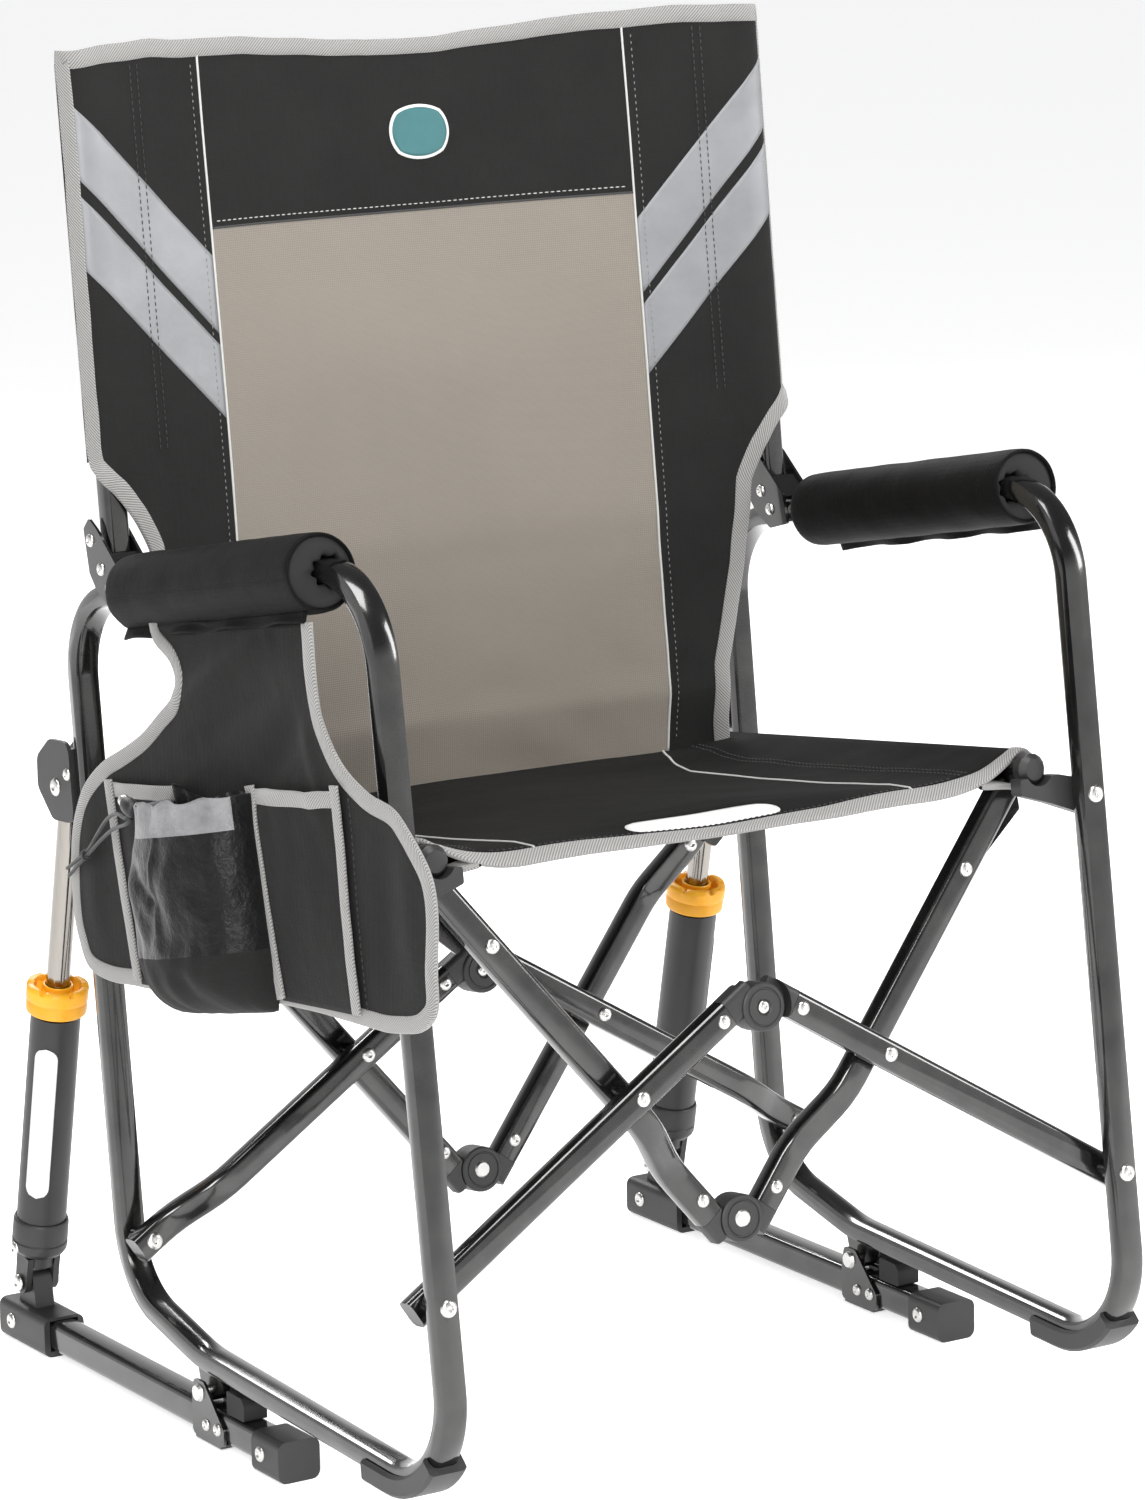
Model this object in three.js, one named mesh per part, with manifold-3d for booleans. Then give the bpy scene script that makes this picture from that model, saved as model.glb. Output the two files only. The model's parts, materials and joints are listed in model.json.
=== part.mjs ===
// Folding camp rocking chair: two side frames joined by a front and a rear scissor, a seat slung
// between rails that the scissors carry, a back slung between two posts, and two ground rails
// that the frames rock on against a pair of spring pistons. An organizer hangs from one arm.
//
// Millimetres. +Z is up, the sitter faces -Y, and "left" is the -X side.

import * as THREE from "three";
import { mergeVertices } from "three/addons/utils/BufferGeometryUtils.js";
import Module from "manifold-3d";

const wasm = await Module();
wasm.setup();

// ---------------------------------------------------------------- driving dimensions

const gap = 0.3; // between pieces that touch
const halfTrack = 271; // middle of the chair to the plane of a side frame
const seatFall = 7.3; // degrees that the scissor frames and the seat fall to the rear

// Side frame: one tube bent into a loop. Corners are given in the side plane as [y, z].
const frameTube = { wide: 20, deep: 16, round: 5 };
const frameBend = 62;
const loopCorners = [
  { at: [-229.4, 642.7], radius: frameBend }, // arm to front leg
  { at: [-310.6, 44], radius: frameBend }, // front leg to bottom
  { at: [22, 57], radius: 2 * frameBend }, // slight kink above the rocker pivot
  { at: [129.3, 81.8], radius: frameBend }, // bottom to rear leg
  { at: [181.7, 562.5], radius: frameBend }, // rear leg to arm
];

// Scissors, in a frame that falls to the rear with the seat: x across, t rearwards, h upwards.
const bar = { wide: 20, thick: 16, round: 4.5 };
const crossing = { x: 98.9, h: 238.9 };
const lowAngle = 31.6; // of the bars that start at the side frames
const upAngle = 51; // of the bars that carry the seat rails
const upperHub = { h: 285.5, reach: 23 }; // reach: bar end to hub centre, along the bar
const lowerHub = { h: 138.8, reach: 17.5 };
const hubRadius = 16.5;
const hubPlay = 6.2; // the upper hub is the pivot that a coupled fold leaves open
const boltRadius = 4;
const boltHole = 4.35;
const frontLow = { face: -299.5, end: -299.5, leg: -304.4 };
const rearLow = { face: 62, end: 81, leg: 106.8 };
const frontUp = { face: -275.6, hub: -252, top: -275.6 };
const rearUp = { face: 88, hub: 88, top: 66 };

const seatRail = { x: 237.4, h: 414, radius: 11, front: -286, rear: 84, cap: 12, saddle: -302.3 };
const seat = { thick: 2.5, sag: 9, front: -284, rear: 80 };

// Back: posts lean back with the side frames and stand between the cheeks of the arm brackets.
const post = { x: 269.5, wide: 17, deep: 16, round: 4, foot: [120.5, 583.2], top: 937 };
const postLean = 6.1; // degrees
const back = { thick: 3, sag: 30, low: 84, high: 356.5, waist: 222, hem: 40 };

const armPad = { x: 279, radius: 26, front: [-177.4, 631.5], rear: [74, 583] };

// Ground rail, rocker pivot and spring piston, in the side plane as [y, z].
const rail = { size: 22, round: 5, z: 17, front: -98, rear: 308 };
const rockPin = [13.7, 36];
const pistonFoot = [282, 48];
const pistonHead = [198.4, 428];
const piston = { capRadius: 19.5, radius: 18, rodRadius: 8.5, collarRadius: 22.5 };

const organizer = {
  x: 304,
  thick: 2.4,
  pocket: { mouth: [-66, 468], half: 64, out: 56, deep: 138, tilt: 13.6 },
};

const paint = { color: 0x17181a, roughness: 0.28, metalness: 0.6 };
const plastic = { color: 0x3a3b3d, roughness: 0.55, metalness: 0 };
const fabric = { color: 0x2b292a, roughness: 0.9, metalness: 0 };
const foam = { color: 0x1d1c1c, roughness: 0.95, metalness: 0 };
const steel = { color: 0xb9b4ae, roughness: 0.2, metalness: 1 };
const amber = { color: 0xf2a21b, roughness: 0.45, metalness: 0 };
const barrelPaint = { color: 0x2f2f2f, roughness: 0.6, metalness: 0 };
const rubber = { color: 0x101010, roughness: 0.8, metalness: 0 };

// ---------------------------------------------------------------- helpers

const rad = THREE.MathUtils.degToRad;
const v2 = (p) => new THREE.Vector2(p[0], p[1]);
const v3 = (x, y, z) => new THREE.Vector3(x, y, z);

// Planes that outlines are drawn in: side plane (y, z) extruded along x, front plane (x, z)
// extruded towards -y.
const sidePlane = new THREE.Matrix4().makeBasis(v3(0, 1, 0), v3(0, 0, 1), v3(1, 0, 0));
const frontPlane = new THREE.Matrix4().makeBasis(v3(1, 0, 0), v3(0, 0, 1), v3(0, -1, 0));

function solidOf(geometry) {
  const bare = geometry.clone();
  bare.deleteAttribute("normal");
  bare.deleteAttribute("uv");
  const merged = mergeVertices(bare, 1e-4);
  const triVerts = new Uint32Array(merged.index.array);
  const vertProperties = new Float32Array(merged.attributes.position.array);
  return new wasm.Manifold(new wasm.Mesh({ numProp: 3, vertProperties, triVerts }));
}

function geometryOf(solid) {
  const mesh = solid.getMesh();
  const geometry = new THREE.BufferGeometry();
  const positions = new Float32Array(mesh.vertProperties);
  geometry.setAttribute("position", new THREE.BufferAttribute(positions, 3));
  geometry.setIndex(new THREE.BufferAttribute(new Uint32Array(mesh.triVerts), 1));
  return geometry;
}

function join(...geometries) {
  return geometryOf(geometries.map(solidOf).reduce((a, b) => a.add(b)));
}

function cut(geometry, ...tools) {
  return geometryOf(tools.map(solidOf).reduce((a, b) => a.subtract(b), solidOf(geometry)));
}

function common(a, b) {
  return geometryOf(solidOf(a).intersect(solidOf(b)));
}

// The same piece on the other side of the chair.
function mirrored(geometry) {
  const flipped = geometry.index ? geometry.toNonIndexed() : geometry.clone();
  const position = flipped.attributes.position;
  const corner = v3(0, 0, 0);
  const other = v3(0, 0, 0);
  for (let i = 0; i < position.count; i += 3) {
    for (let j = 0; j < 3; j += 1) position.setX(i + j, -position.getX(i + j));
    corner.fromBufferAttribute(position, i + 1);
    other.fromBufferAttribute(position, i + 2);
    position.setXYZ(i + 1, other.x, other.y, other.z);
    position.setXYZ(i + 2, corner.x, corner.y, corner.z);
  }
  const bare = new THREE.BufferGeometry();
  bare.setAttribute("position", position);
  return mergeVertices(bare, 1e-4);
}

// Corners of a polygon moved outwards by a distance, each bend keeping its centre.
function offsetCorners(corners, distance) {
  const count = corners.length;
  return corners.map((corner, i) => {
    const here = v2(corner.at);
    const before = v2(corners[(i + count - 1) % count].at);
    const after = v2(corners[(i + 1) % count].at);
    const into = here.clone().sub(before).normalize();
    const out = after.clone().sub(here).normalize();
    const normalIn = new THREE.Vector2(into.y, -into.x);
    const normalOut = new THREE.Vector2(out.y, -out.x);
    const bisector = normalIn.clone().add(normalOut).normalize();
    const reach = distance / bisector.dot(normalIn);
    const moved = here.clone().addScaledVector(bisector, reach);
    return { at: [moved.x, moved.y], radius: corner.radius + distance };
  });
}

// Closed outline with every corner rounded to its own radius, corners counter-clockwise.
function roundedOutline(corners, outline = new THREE.Shape()) {
  const count = corners.length;
  corners.forEach((corner, i) => {
    const here = v2(corner.at);
    const into = here.clone().sub(v2(corners[(i + count - 1) % count].at)).normalize();
    const out = v2(corners[(i + 1) % count].at).sub(here).normalize();
    const turn = Math.atan2(into.cross(out), into.dot(out));
    if (corner.radius < 0.01 || Math.abs(turn) < 0.01) {
      if (i === 0) outline.moveTo(here.x, here.y);
      else outline.lineTo(here.x, here.y);
      return;
    }
    const side = Math.sign(turn);
    const tangent = corner.radius * Math.tan(Math.abs(turn) / 2);
    const start = here.clone().addScaledVector(into, -tangent);
    const normal = new THREE.Vector2(-into.y, into.x).multiplyScalar(side);
    const centre = start.clone().addScaledVector(normal, corner.radius);
    const from = Math.atan2(start.y - centre.y, start.x - centre.x);
    if (i === 0) outline.moveTo(start.x, start.y);
    outline.absarc(centre.x, centre.y, corner.radius, from, from + turn, side < 0);
  });
  outline.closePath();
  return outline;
}

const polygon = (points, radius = 0) =>
  roundedOutline(points.map((at) => ({ at, radius })));

function roundedRectangle(width, height, radius) {
  const x = width / 2;
  const y = height / 2;
  return polygon([[-x, -y], [x, -y], [x, y], [-x, y]], radius);
}

function plate(shape, plane, from, to, { bevel = 0, arcs = 6, bevelSteps = 1 } = {}) {
  const depth = Math.abs(to - from);
  const geometry = new THREE.ExtrudeGeometry(shape, {
    depth: depth - 2 * bevel,
    curveSegments: arcs,
    bevelEnabled: bevel > 0,
    bevelThickness: bevel,
    bevelSize: bevel,
    bevelOffset: -bevel,
    bevelSegments: bevelSteps,
  });
  geometry.translate(0, 0, bevel);
  geometry.applyMatrix4(plane);
  if (plane === sidePlane) geometry.translate(Math.min(from, to), 0, 0);
  else geometry.translate(0, Math.max(from, to), 0);
  return geometry;
}

// Side plate: outline in (y, z) between two x. Front plate: outline in (x, z) between two y.
const sidePlate = (shape, x0, x1, options) => plate(shape, sidePlane, x0, x1, options);
const frontPlate = (shape, y0, y1, options) => plate(shape, frontPlane, y0, y1, options);

function block(x0, x1, y0, y1, z0, z1) {
  const geometry = new THREE.BoxGeometry(x1 - x0, y1 - y0, z1 - z0);
  return geometry.translate((x0 + x1) / 2, (y0 + y1) / 2, (z0 + z1) / 2);
}

// Round rod between two points.
function rod(from, to, radius, sides = 16) {
  const along = to.clone().sub(from);
  const geometry = new THREE.CylinderGeometry(radius, radius, along.length(), sides);
  const turn = new THREE.Quaternion().setFromUnitVectors(v3(0, 1, 0), along.clone().normalize());
  geometry.applyQuaternion(turn);
  const middle = from.clone().add(to).multiplyScalar(0.5);
  return geometry.translate(middle.x, middle.y, middle.z);
}

const rodX = (x0, x1, y, z, radius, sides) => rod(v3(x0, y, z), v3(x1, y, z), radius, sides);
const rodY = (x, y0, y1, z, radius, sides) => rod(v3(x, y0, z), v3(x, y1, z), radius, sides);

// Solid of revolution about the line from one point towards another; profile is [radius, along].
function turned(profile, from, to, sides = 20) {
  const geometry = new THREE.LatheGeometry(profile.map(v2), sides);
  const turn = new THREE.Quaternion();
  turn.setFromUnitVectors(v3(0, 1, 0), to.clone().sub(from).normalize());
  return geometry.applyQuaternion(turn).translate(from.x, from.y, from.z);
}

// A curve that is its own list of points, so that a sweep spends its steps on the bends only.
class Stations extends THREE.Curve {
  constructor(points) {
    super();
    this.points = points;
  }
  at(u) {
    return Math.round(u * (this.points.length - 1));
  }
  getPointAt(u) {
    return this.points[this.at(u)].clone();
  }
  getSpacedPoints() {
    return this.points.map((point) => point.clone());
  }
  getTangentAt(u) {
    const i = this.at(u);
    const last = this.points.length - 1;
    const before = this.points[Math.max(i - 1, 0)];
    const after = this.points[Math.min(i + 1, last)];
    return after.clone().sub(before).normalize();
  }
}

// Points along a bent path: straight runs, with an arc of the given radius at each inner corner.
function bent(corners, radius, steps = 3) {
  const points = [corners[0]];
  for (let i = 1; i < corners.length - 1; i += 1) {
    const into = corners[i].clone().sub(corners[i - 1]).normalize();
    const out = corners[i + 1].clone().sub(corners[i]).normalize();
    const half = into.angleTo(out) / 2;
    const tangent = radius * Math.tan(half);
    const start = corners[i].clone().addScaledVector(into, -tangent);
    const end = corners[i].clone().addScaledVector(out, tangent);
    const inward = out.clone().sub(into).normalize();
    const centre = corners[i].clone().addScaledVector(inward, radius / Math.cos(half));
    const a = start.clone().sub(centre);
    const b = end.clone().sub(centre);
    for (let k = 0; k <= steps; k += 1) {
      const share = k / steps;
      const angle = 2 * half;
      const wa = Math.sin((1 - share) * angle) / Math.sin(angle);
      const wb = Math.sin(share * angle) / Math.sin(angle);
      points.push(centre.clone().addScaledVector(a, wa).addScaledVector(b, wb));
    }
  }
  points.push(corners[corners.length - 1]);
  return points;
}

function sweep(section, points, arcs = 2) {
  return new THREE.ExtrudeGeometry(section, {
    steps: points.length - 1,
    curveSegments: arcs,
    extrudePath: new Stations(points),
  });
}

const barSection = roundedRectangle(bar.thick, bar.wide, bar.round);

// ---------------------------------------------------------------- assembly

const chair = new THREE.Group();
const falling = new THREE.Group(); // the scissors' frame: its y is t and its z is h
falling.rotation.x = -rad(seatFall);
chair.add(falling);

function add(group, name, geometry, finish) {
  const mesh = new THREE.Mesh(geometry, new THREE.MeshStandardMaterial(finish));
  mesh.name = name;
  group.add(mesh);
}

const sides = ["right", "left"];

// A piece drawn on the right, and its mirror image on the left.
function addPair(group, name, geometry, finish) {
  add(group, `${name}_right`, geometry, finish);
  add(group, `${name}_left`, mirrored(geometry), finish);
}

// ---------------------------------------------------------------- side frames

function loopTube(grow, arcs = 11) {
  const outer = roundedOutline(offsetCorners(loopCorners, frameTube.deep / 2 + grow));
  outer.holes.push(
    roundedOutline(offsetCorners(loopCorners, -frameTube.deep / 2 - grow), new THREE.Path()),
  );
  const half = frameTube.wide / 2 + grow;
  return sidePlate(outer, halfTrack - half, halfTrack + half, {
    bevel: frameTube.round,
    arcs,
    bevelSteps: 2,
  });
}

const loopClearance = loopTube(gap);

// Lug welded under the loop; the rocker pin turns in it.
function rockerLug() {
  const [y, z] = rockPin;
  const outline = polygon(
    [[y + 3, z - 6.6], [y + 8, z - 2], [y + 15, z + 19], [y - 15, z + 18], [y - 8, z - 2], [y - 3, z - 6.6]],
    2,
  );
  const lug = sidePlate(outline, halfTrack - 6, halfTrack + 6, { arcs: 3 });
  return cut(lug, rodX(halfTrack - 8, halfTrack + 8, y, z, boltHole));
}

function sideFrame() {
  return join(loopTube(0), rockerLug());
}

// Shoe that cups the front bottom bend from below.
function frontFoot() {
  const outer = offsetCorners(loopCorners, frameTube.deep / 2 + 5.5);
  const inner = offsetCorners(loopCorners, -1);
  const band = roundedOutline(outer);
  band.holes.push(roundedOutline(inner, new THREE.Path()));
  const whole = sidePlate(band, halfTrack - 14, halfTrack + 14, { bevel: 2, arcs: 8 });
  const span = sidePlate(
    polygon([[-294, 66], [-330, 30], [-214, 0], [-206, 60], [-240, 108.6]]),
    halfTrack - 20,
    halfTrack + 20,
  );
  return cut(common(whole, span), loopClearance);
}

function armFoam() {
  const { x, front, rear, radius } = armPad;
  const whole = rod(v3(x, ...front), v3(x, ...rear), radius, 24);
  return cut(whole, loopClearance);
}

// Sheet-metal bracket: two cheeks beside the arm, joined by a sloping web in front of the post.
function backBracket() {
  const cheek = polygon(
    [[86, 573], [108, 567], [127, 577], [137, 588], [144, 618], [136, 626], [125, 620], [92, 594]],
    2,
  );
  const web = polygon([[91.5, 592.2], [109.5, 604.8], [111, 602.5], [93, 589.9]]);
  const inner = frameTube.wide / 2 + gap;
  const outer = inner + 2;
  const options = { arcs: 2 };
  return join(
    sidePlate(cheek, halfTrack - outer, halfTrack - inner, options),
    sidePlate(cheek, halfTrack + inner, halfTrack + outer, options),
    sidePlate(web, halfTrack - outer, halfTrack + outer),
  );
}

// Cradle riveted behind the front leg; the seat rail's front end drops into it.
function railSaddle() {
  const { x, h, radius, saddle } = seatRail;
  const wall = radius + gap + 5;
  const outline = polygon(
    [[x - wall, h - 16], [x + 8, h - 24], [halfTrack + 10, h - 38], [halfTrack + 10, h - 12],
      [x + wall, h - 5], [x - wall, h - 5]],
    2,
  );
  const whole = frontPlate(outline, saddle + 12, saddle, { arcs: 2 });
  const seatOfRail = rodY(x, saddle - 20, saddle + 20, h, radius + gap);
  return cut(whole, seatOfRail);
}

// Half-round clevis behind the rear leg; the piston rod's eye hangs on its bolt.
function pistonBracket() {
  const [y, z] = pistonHead;
  const cheek = polygon([[172, 406], [204, 404], [226, 424], [226, 446], [207, 461], [178, 463]], 9);
  const base = polygon([[172, 410], [177, 410], [182.2, 458], [177, 458]]);
  const options = { arcs: 2 };
  const clevis = join(
    sidePlate(cheek, halfTrack - 13, halfTrack - 10, options),
    sidePlate(cheek, halfTrack + 10, halfTrack + 13, options),
    sidePlate(base, halfTrack - 12, halfTrack + 12),
    rodX(halfTrack - 12, halfTrack + 12, y, z, boltRadius, 12),
  );
  return cut(clevis, loopClearance);
}

addPair(chair, "side_frame", sideFrame(), paint);
addPair(chair, "front_foot", frontFoot(), plastic);
addPair(chair, "arm_pad", armFoam(), foam);
addPair(chair, "back_bracket", backBracket(), paint);
addPair(chair, "piston_bracket", pistonBracket(), plastic);
addPair(falling, "rail_saddle", railSaddle(), plastic);

// ---------------------------------------------------------------- scissors

// Places on the right-hand bars. Along a low bar, s runs from the side frame to the upper hub;
// along an up bar, s runs from the lower hub to the seat rail. Both are 0 at the crossing.
const lowDirection = [-Math.cos(rad(lowAngle)), Math.sin(rad(lowAngle))];
const upDirection = [Math.cos(rad(upAngle)), Math.sin(rad(upAngle))];
const onLow = (s, t) => v3(crossing.x + s * lowDirection[0], t, crossing.h + s * lowDirection[1]);
const onUp = (s, t) => v3(crossing.x + s * upDirection[0], t, crossing.h + s * upDirection[1]);
const alongLow = (x, h) => (x - crossing.x) * lowDirection[0] + (h - crossing.h) * lowDirection[1];
const alongUp = (x, h) => (x - crossing.x) * upDirection[0] + (h - crossing.h) * upDirection[1];

const framePin = (halfTrack - crossing.x) / lowDirection[0]; // s of the pin on the side frame
const lowEnd = alongLow(0, upperHub.h) - upperHub.reach;
const upEnd = alongUp(0, lowerHub.h) + lowerHub.reach;
const railEnd = alongUp(seatRail.x, seatRail.h) - seatRail.radius - 2 * gap;

// Low bar with the spacer bosses that stand it off its side frame and the up bar behind it.
function lowBar({ face, end, leg }, upFace) {
  const t = face + bar.thick / 2;
  const tEnd = end + bar.thick / 2;
  const offset = end !== face;
  const corners = [onLow(framePin - 12, tEnd)];
  if (offset) corners.push(onLow(framePin + 22, tEnd), onLow(framePin + 58, t));
  corners.push(onLow(lowEnd, t));
  const pinAt = onLow(framePin, 0);
  const crossAt = onLow(0, 0);
  const toLeg = leg < face ? [leg, end + 1] : [end + bar.thick - 1, leg];
  return join(
    sweep(barSection, offset ? bent(corners, 60) : corners),
    rodY(pinAt.x, ...toLeg, pinAt.z, 7, 12),
    rodY(crossAt.x, face + bar.thick - 1, upFace - gap, crossAt.z, 7, 12),
  );
}

// Up bar: straight above the crossing in front, joggled to clear its neighbours where it has to.
function upBar({ face, hub, top }) {
  const half = bar.thick / 2;
  const corners = [onUp(upEnd, hub + half)];
  if (hub !== face) corners.push(onUp(-75, hub + half), onUp(-32, face + half));
  if (top !== face) corners.push(onUp(100, face + half), onUp(150, top + half));
  corners.push(onUp(railEnd, top + half));
  return sweep(barSection, bent(corners, 50));
}

// Moulded knuckle: a disc of half the bar's thickness and a full-thickness elbow onto the bar.
function knuckle(place, hubH, end, face, inFront, play, hole) {
  const middle = face + bar.thick / 2;
  const back = face + bar.thick;
  const own = inFront ? [face, middle - gap / 2] : [middle + gap / 2, back];
  const other = inFront ? [middle - gap / 2, back + 1] : [face - 1, middle + gap / 2];
  const hubAlong = Math.abs(end);
  const step = Math.sign(end) * gap;
  const elbow = sweep(barSection, [
    place(end + step, middle),
    place(Math.sign(end) * (hubAlong + (place === onLow ? upperHub : lowerHub).reach), middle),
  ]);
  const freed = cut(elbow, rodY(0, ...other, hubH, hubRadius + play, 32));
  const disc = rodY(0, ...own, hubH, hubRadius, 24);
  const joined = join(disc, freed);
  return hole ? cut(joined, rodY(0, face - 1, back + 1, hubH, boltHole)) : joined;
}

function addScissor(where, low, up) {
  add(falling, `low_${where}_bar_right`, lowBar(low, up.face), paint);
  add(falling, `low_${where}_bar_left`, mirrored(lowBar(low, up.face)), paint);
  add(falling, `up_${where}_bar_right`, upBar(up), paint);
  add(falling, `up_${where}_bar_left`, mirrored(upBar(up)), paint);
  for (const side of sides) {
    const right = side === "right";
    const upper = knuckle(onLow, upperHub.h, lowEnd, low.face, !right, hubPlay, false);
    const lower = knuckle(onUp, lowerHub.h, upEnd, up.hub, right, 2 * gap, true);
    add(falling, `low_${where}_knuckle_${side}`, right ? upper : mirrored(upper), plastic);
    add(falling, `up_${where}_knuckle_${side}`, right ? lower : mirrored(lower), plastic);
  }
  const ends = [up.hub - 2.5, up.hub + bar.thick + 2.5];
  add(falling, `${where}_hub_bolt`, hubBolt(ends), steel);
}

// Bolt with a flanged head at each end of the lower hub.
function hubBolt([front, back]) {
  const length = back - front;
  const flange = 2.2;
  const profile = [
    [0, 0], [5, 0], [7, flange], [boltRadius, flange], [boltRadius, length - flange],
    [7, length - flange], [5, length], [0, length],
  ];
  return turned(profile, v3(0, front, lowerHub.h), v3(0, back, lowerHub.h), 12);
}

addScissor("front", frontLow, frontUp);
addScissor("rear", rearLow, rearUp);

// ---------------------------------------------------------------- seat rails

// Seat rail with the gusset plates that stand behind the ends of the up bars.
function railTube() {
  const { x, h, radius, front, rear } = seatRail;
  const gusset = polygon(
    [[x - 9, h - 7], [x - 43, h - 60], [x - 31, h - 67], [x + 12, h - 30], [x + 9, h - 6]],
    3,
  );
  const behind = (up) => up.top + bar.thick + gap;
  const plateAt = (t) => frontPlate(gusset, t, t + 2.5, { arcs: 2 });
  return join(
    rodY(x, front, rear, h, radius),
    plateAt(behind(frontUp)),
    plateAt(frontUp.top === frontUp.face ? rearUp.top - gap - 2.5 : rearUp.top),
  );
}

// Domed end cap on the rail's front end.
function railCap() {
  const { x, h, radius, front, cap } = seatRail;
  const from = v3(x, front - gap, h);
  const profile = [[0, 0], [radius, 0], [radius, cap - 5], [radius - 3.5, cap - 1], [0, cap]];
  return turned(profile, from, v3(x, front - 50, h), 16);
}

addPair(falling, "seat_rail", railTube(), paint);
addPair(falling, "seat_rail_cap", railCap(), plastic);

// Seat: a sheet that sags between the rails and turns over the outside of each.
function seatSheet() {
  const { x, h, radius } = seatRail;
  const inner = radius + gap;
  const outer = inner + seat.thick;
  const outline = new THREE.Shape();
  outline.moveTo(-x, h + outer);
  outline.quadraticCurveTo(0, h + outer - 2 * seat.sag, x, h + outer);
  outline.absarc(x, h, outer, Math.PI / 2, -Math.PI / 6, true);
  outline.absarc(x, h, inner, -Math.PI / 6, Math.PI / 2, false);
  outline.quadraticCurveTo(0, h + inner - 2 * seat.sag, -x, h + inner);
  outline.absarc(-x, h, inner, Math.PI / 2, (7 * Math.PI) / 6, false);
  outline.absarc(-x, h, outer, (7 * Math.PI) / 6, Math.PI / 2, true);
  return frontPlate(outline, seat.front, seat.rear, { arcs: 10 });
}

add(falling, "seat_sling", seatSheet(), fabric);

// ---------------------------------------------------------------- back

// The back's own frame: its z runs up the posts from their feet.
const leaning = new THREE.Group();
leaning.position.set(0, ...post.foot);
leaning.rotation.x = -rad(postLean);
chair.add(leaning);
const postHeight = (post.top - post.foot[1]) / Math.cos(rad(postLean));

function backPost() {
  const section = roundedRectangle(post.deep, post.wide, post.round);
  return sweep(section, [v3(post.x, 0, 0.5), v3(post.x, 0, postHeight)]);
}

// Back sheet: sleeves round both posts, a sagging panel between them, and a narrower tail
// that runs down and rearwards of the seat's back edge.
function backSheet() {
  const reach = post.wide / 2 + 1.2;
  const front = -post.deep / 2 - 1.2;
  const outer = post.x + reach + back.thick;
  const deepest = front + back.sag;
  const inside = post.x - reach;
  const outline = new THREE.Shape();
  outline.moveTo(-outer, front - back.thick);
  outline.lineTo(-inside, front - back.thick);
  outline.quadraticCurveTo(0, 2 * deepest - front - back.thick, inside, front - back.thick);
  outline.lineTo(outer, front - back.thick);
  outline.lineTo(outer, -front + back.thick);
  outline.lineTo(post.x - back.hem, -front + back.thick);
  outline.lineTo(post.x - back.hem, -front);
  outline.lineTo(post.x + reach, -front);
  outline.lineTo(post.x + reach, front);
  outline.lineTo(inside, front);
  outline.quadraticCurveTo(0, 2 * deepest - front, -inside, front);
  outline.lineTo(-post.x - reach, front);
  outline.lineTo(-post.x - reach, -front);
  outline.lineTo(-post.x + back.hem, -front);
  outline.lineTo(-post.x + back.hem, -front + back.thick);
  outline.lineTo(-outer, -front + back.thick);
  outline.closePath();
  const sleeved = new THREE.ExtrudeGeometry(outline, {
    depth: back.high - back.low,
    curveSegments: 14,
    bevelEnabled: false,
  });
  sleeved.translate(0, 0, back.low);
  const tail = polygon([[4.5, -150], [7.5, -150], [9.3, back.low + 1], [6.3, back.low + 1]]);
  const w = back.waist;
  const narrow = polygon([[-w, -150], [w, -150], [w, -20], [w + 12, 20], [w + 22, back.low + 1],
    [-w - 22, back.low + 1], [-w - 12, 20], [-w, -20]]);
  const hanging = common(sidePlate(tail, -outer, outer), frontPlate(narrow, -60, 60));
  return join(sleeved, hanging);
}

addPair(leaning, "back_post", backPost(), paint);
add(leaning, "back_sling", backSheet(), fabric);

// ---------------------------------------------------------------- ground rails

function groundRail() {
  const section = roundedRectangle(rail.size, rail.size, rail.round);
  return sweep(section, [v3(halfTrack, rail.front + 4, rail.z), v3(halfTrack, rail.rear - 4, rail.z)]);
}

const capSection = roundedRectangle(29, 32, 6);
const railEnvelope = block(
  halfTrack - rail.size / 2 - gap, halfTrack + rail.size / 2 + gap,
  rail.front + 4 - gap, rail.rear - 4 + gap, rail.z - rail.size / 2 - gap,
  rail.z + rail.size / 2 + gap,
);

// Rounded cap on the front end, and the real ground contact there.
function groundFrontCap() {
  const shell = sweep(capSection, [v3(halfTrack, rail.front - 3, 16), v3(halfTrack, -64, 16)]);
  return cut(shell, railEnvelope);
}

// Rear cap with the upright lug that the piston's yoke is pinned to.
function groundRearCap() {
  const [y, z] = pistonFoot;
  const shell = sweep(capSection, [v3(halfTrack, 241, 16), v3(halfTrack, rail.rear + 4, 16)]);
  const lug = polygon([[y - 14, 20], [y + 16, 20], [y + 8, z + 8], [y - 8, z + 8]], 6);
  const upright = sidePlate(lug, halfTrack - 7.5, halfTrack + 7.5, { arcs: 3 });
  const bore = rodX(halfTrack - 10, halfTrack + 10, y, z, boltHole, 12);
  return cut(join(shell, upright), railEnvelope, bore);
}

// Two triangular plates on the sides of the rail, tied under it, with the rocker pin's holes.
function pivotBracket() {
  const [y, z] = rockPin;
  const half = rail.size / 2 + gap;
  const outline = polygon([[y - 34, 5], [y + 10, 5], [y + 10, 30], [y + 7, z + 9], [y - 7, z + 9],
    [y - 34, 17]], 4);
  const options = { arcs: 3 };
  const tie = block(halfTrack - half - 2, halfTrack + half + 2, y - 30, y + 6, 3.2, 5.5);
  const whole = join(
    sidePlate(outline, halfTrack - half - 2, halfTrack - half, options),
    sidePlate(outline, halfTrack + half, halfTrack + half + 2, options),
    tie,
  );
  return cut(whole, rodX(halfTrack - 20, halfTrack + 20, y, z, boltHole));
}

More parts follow.
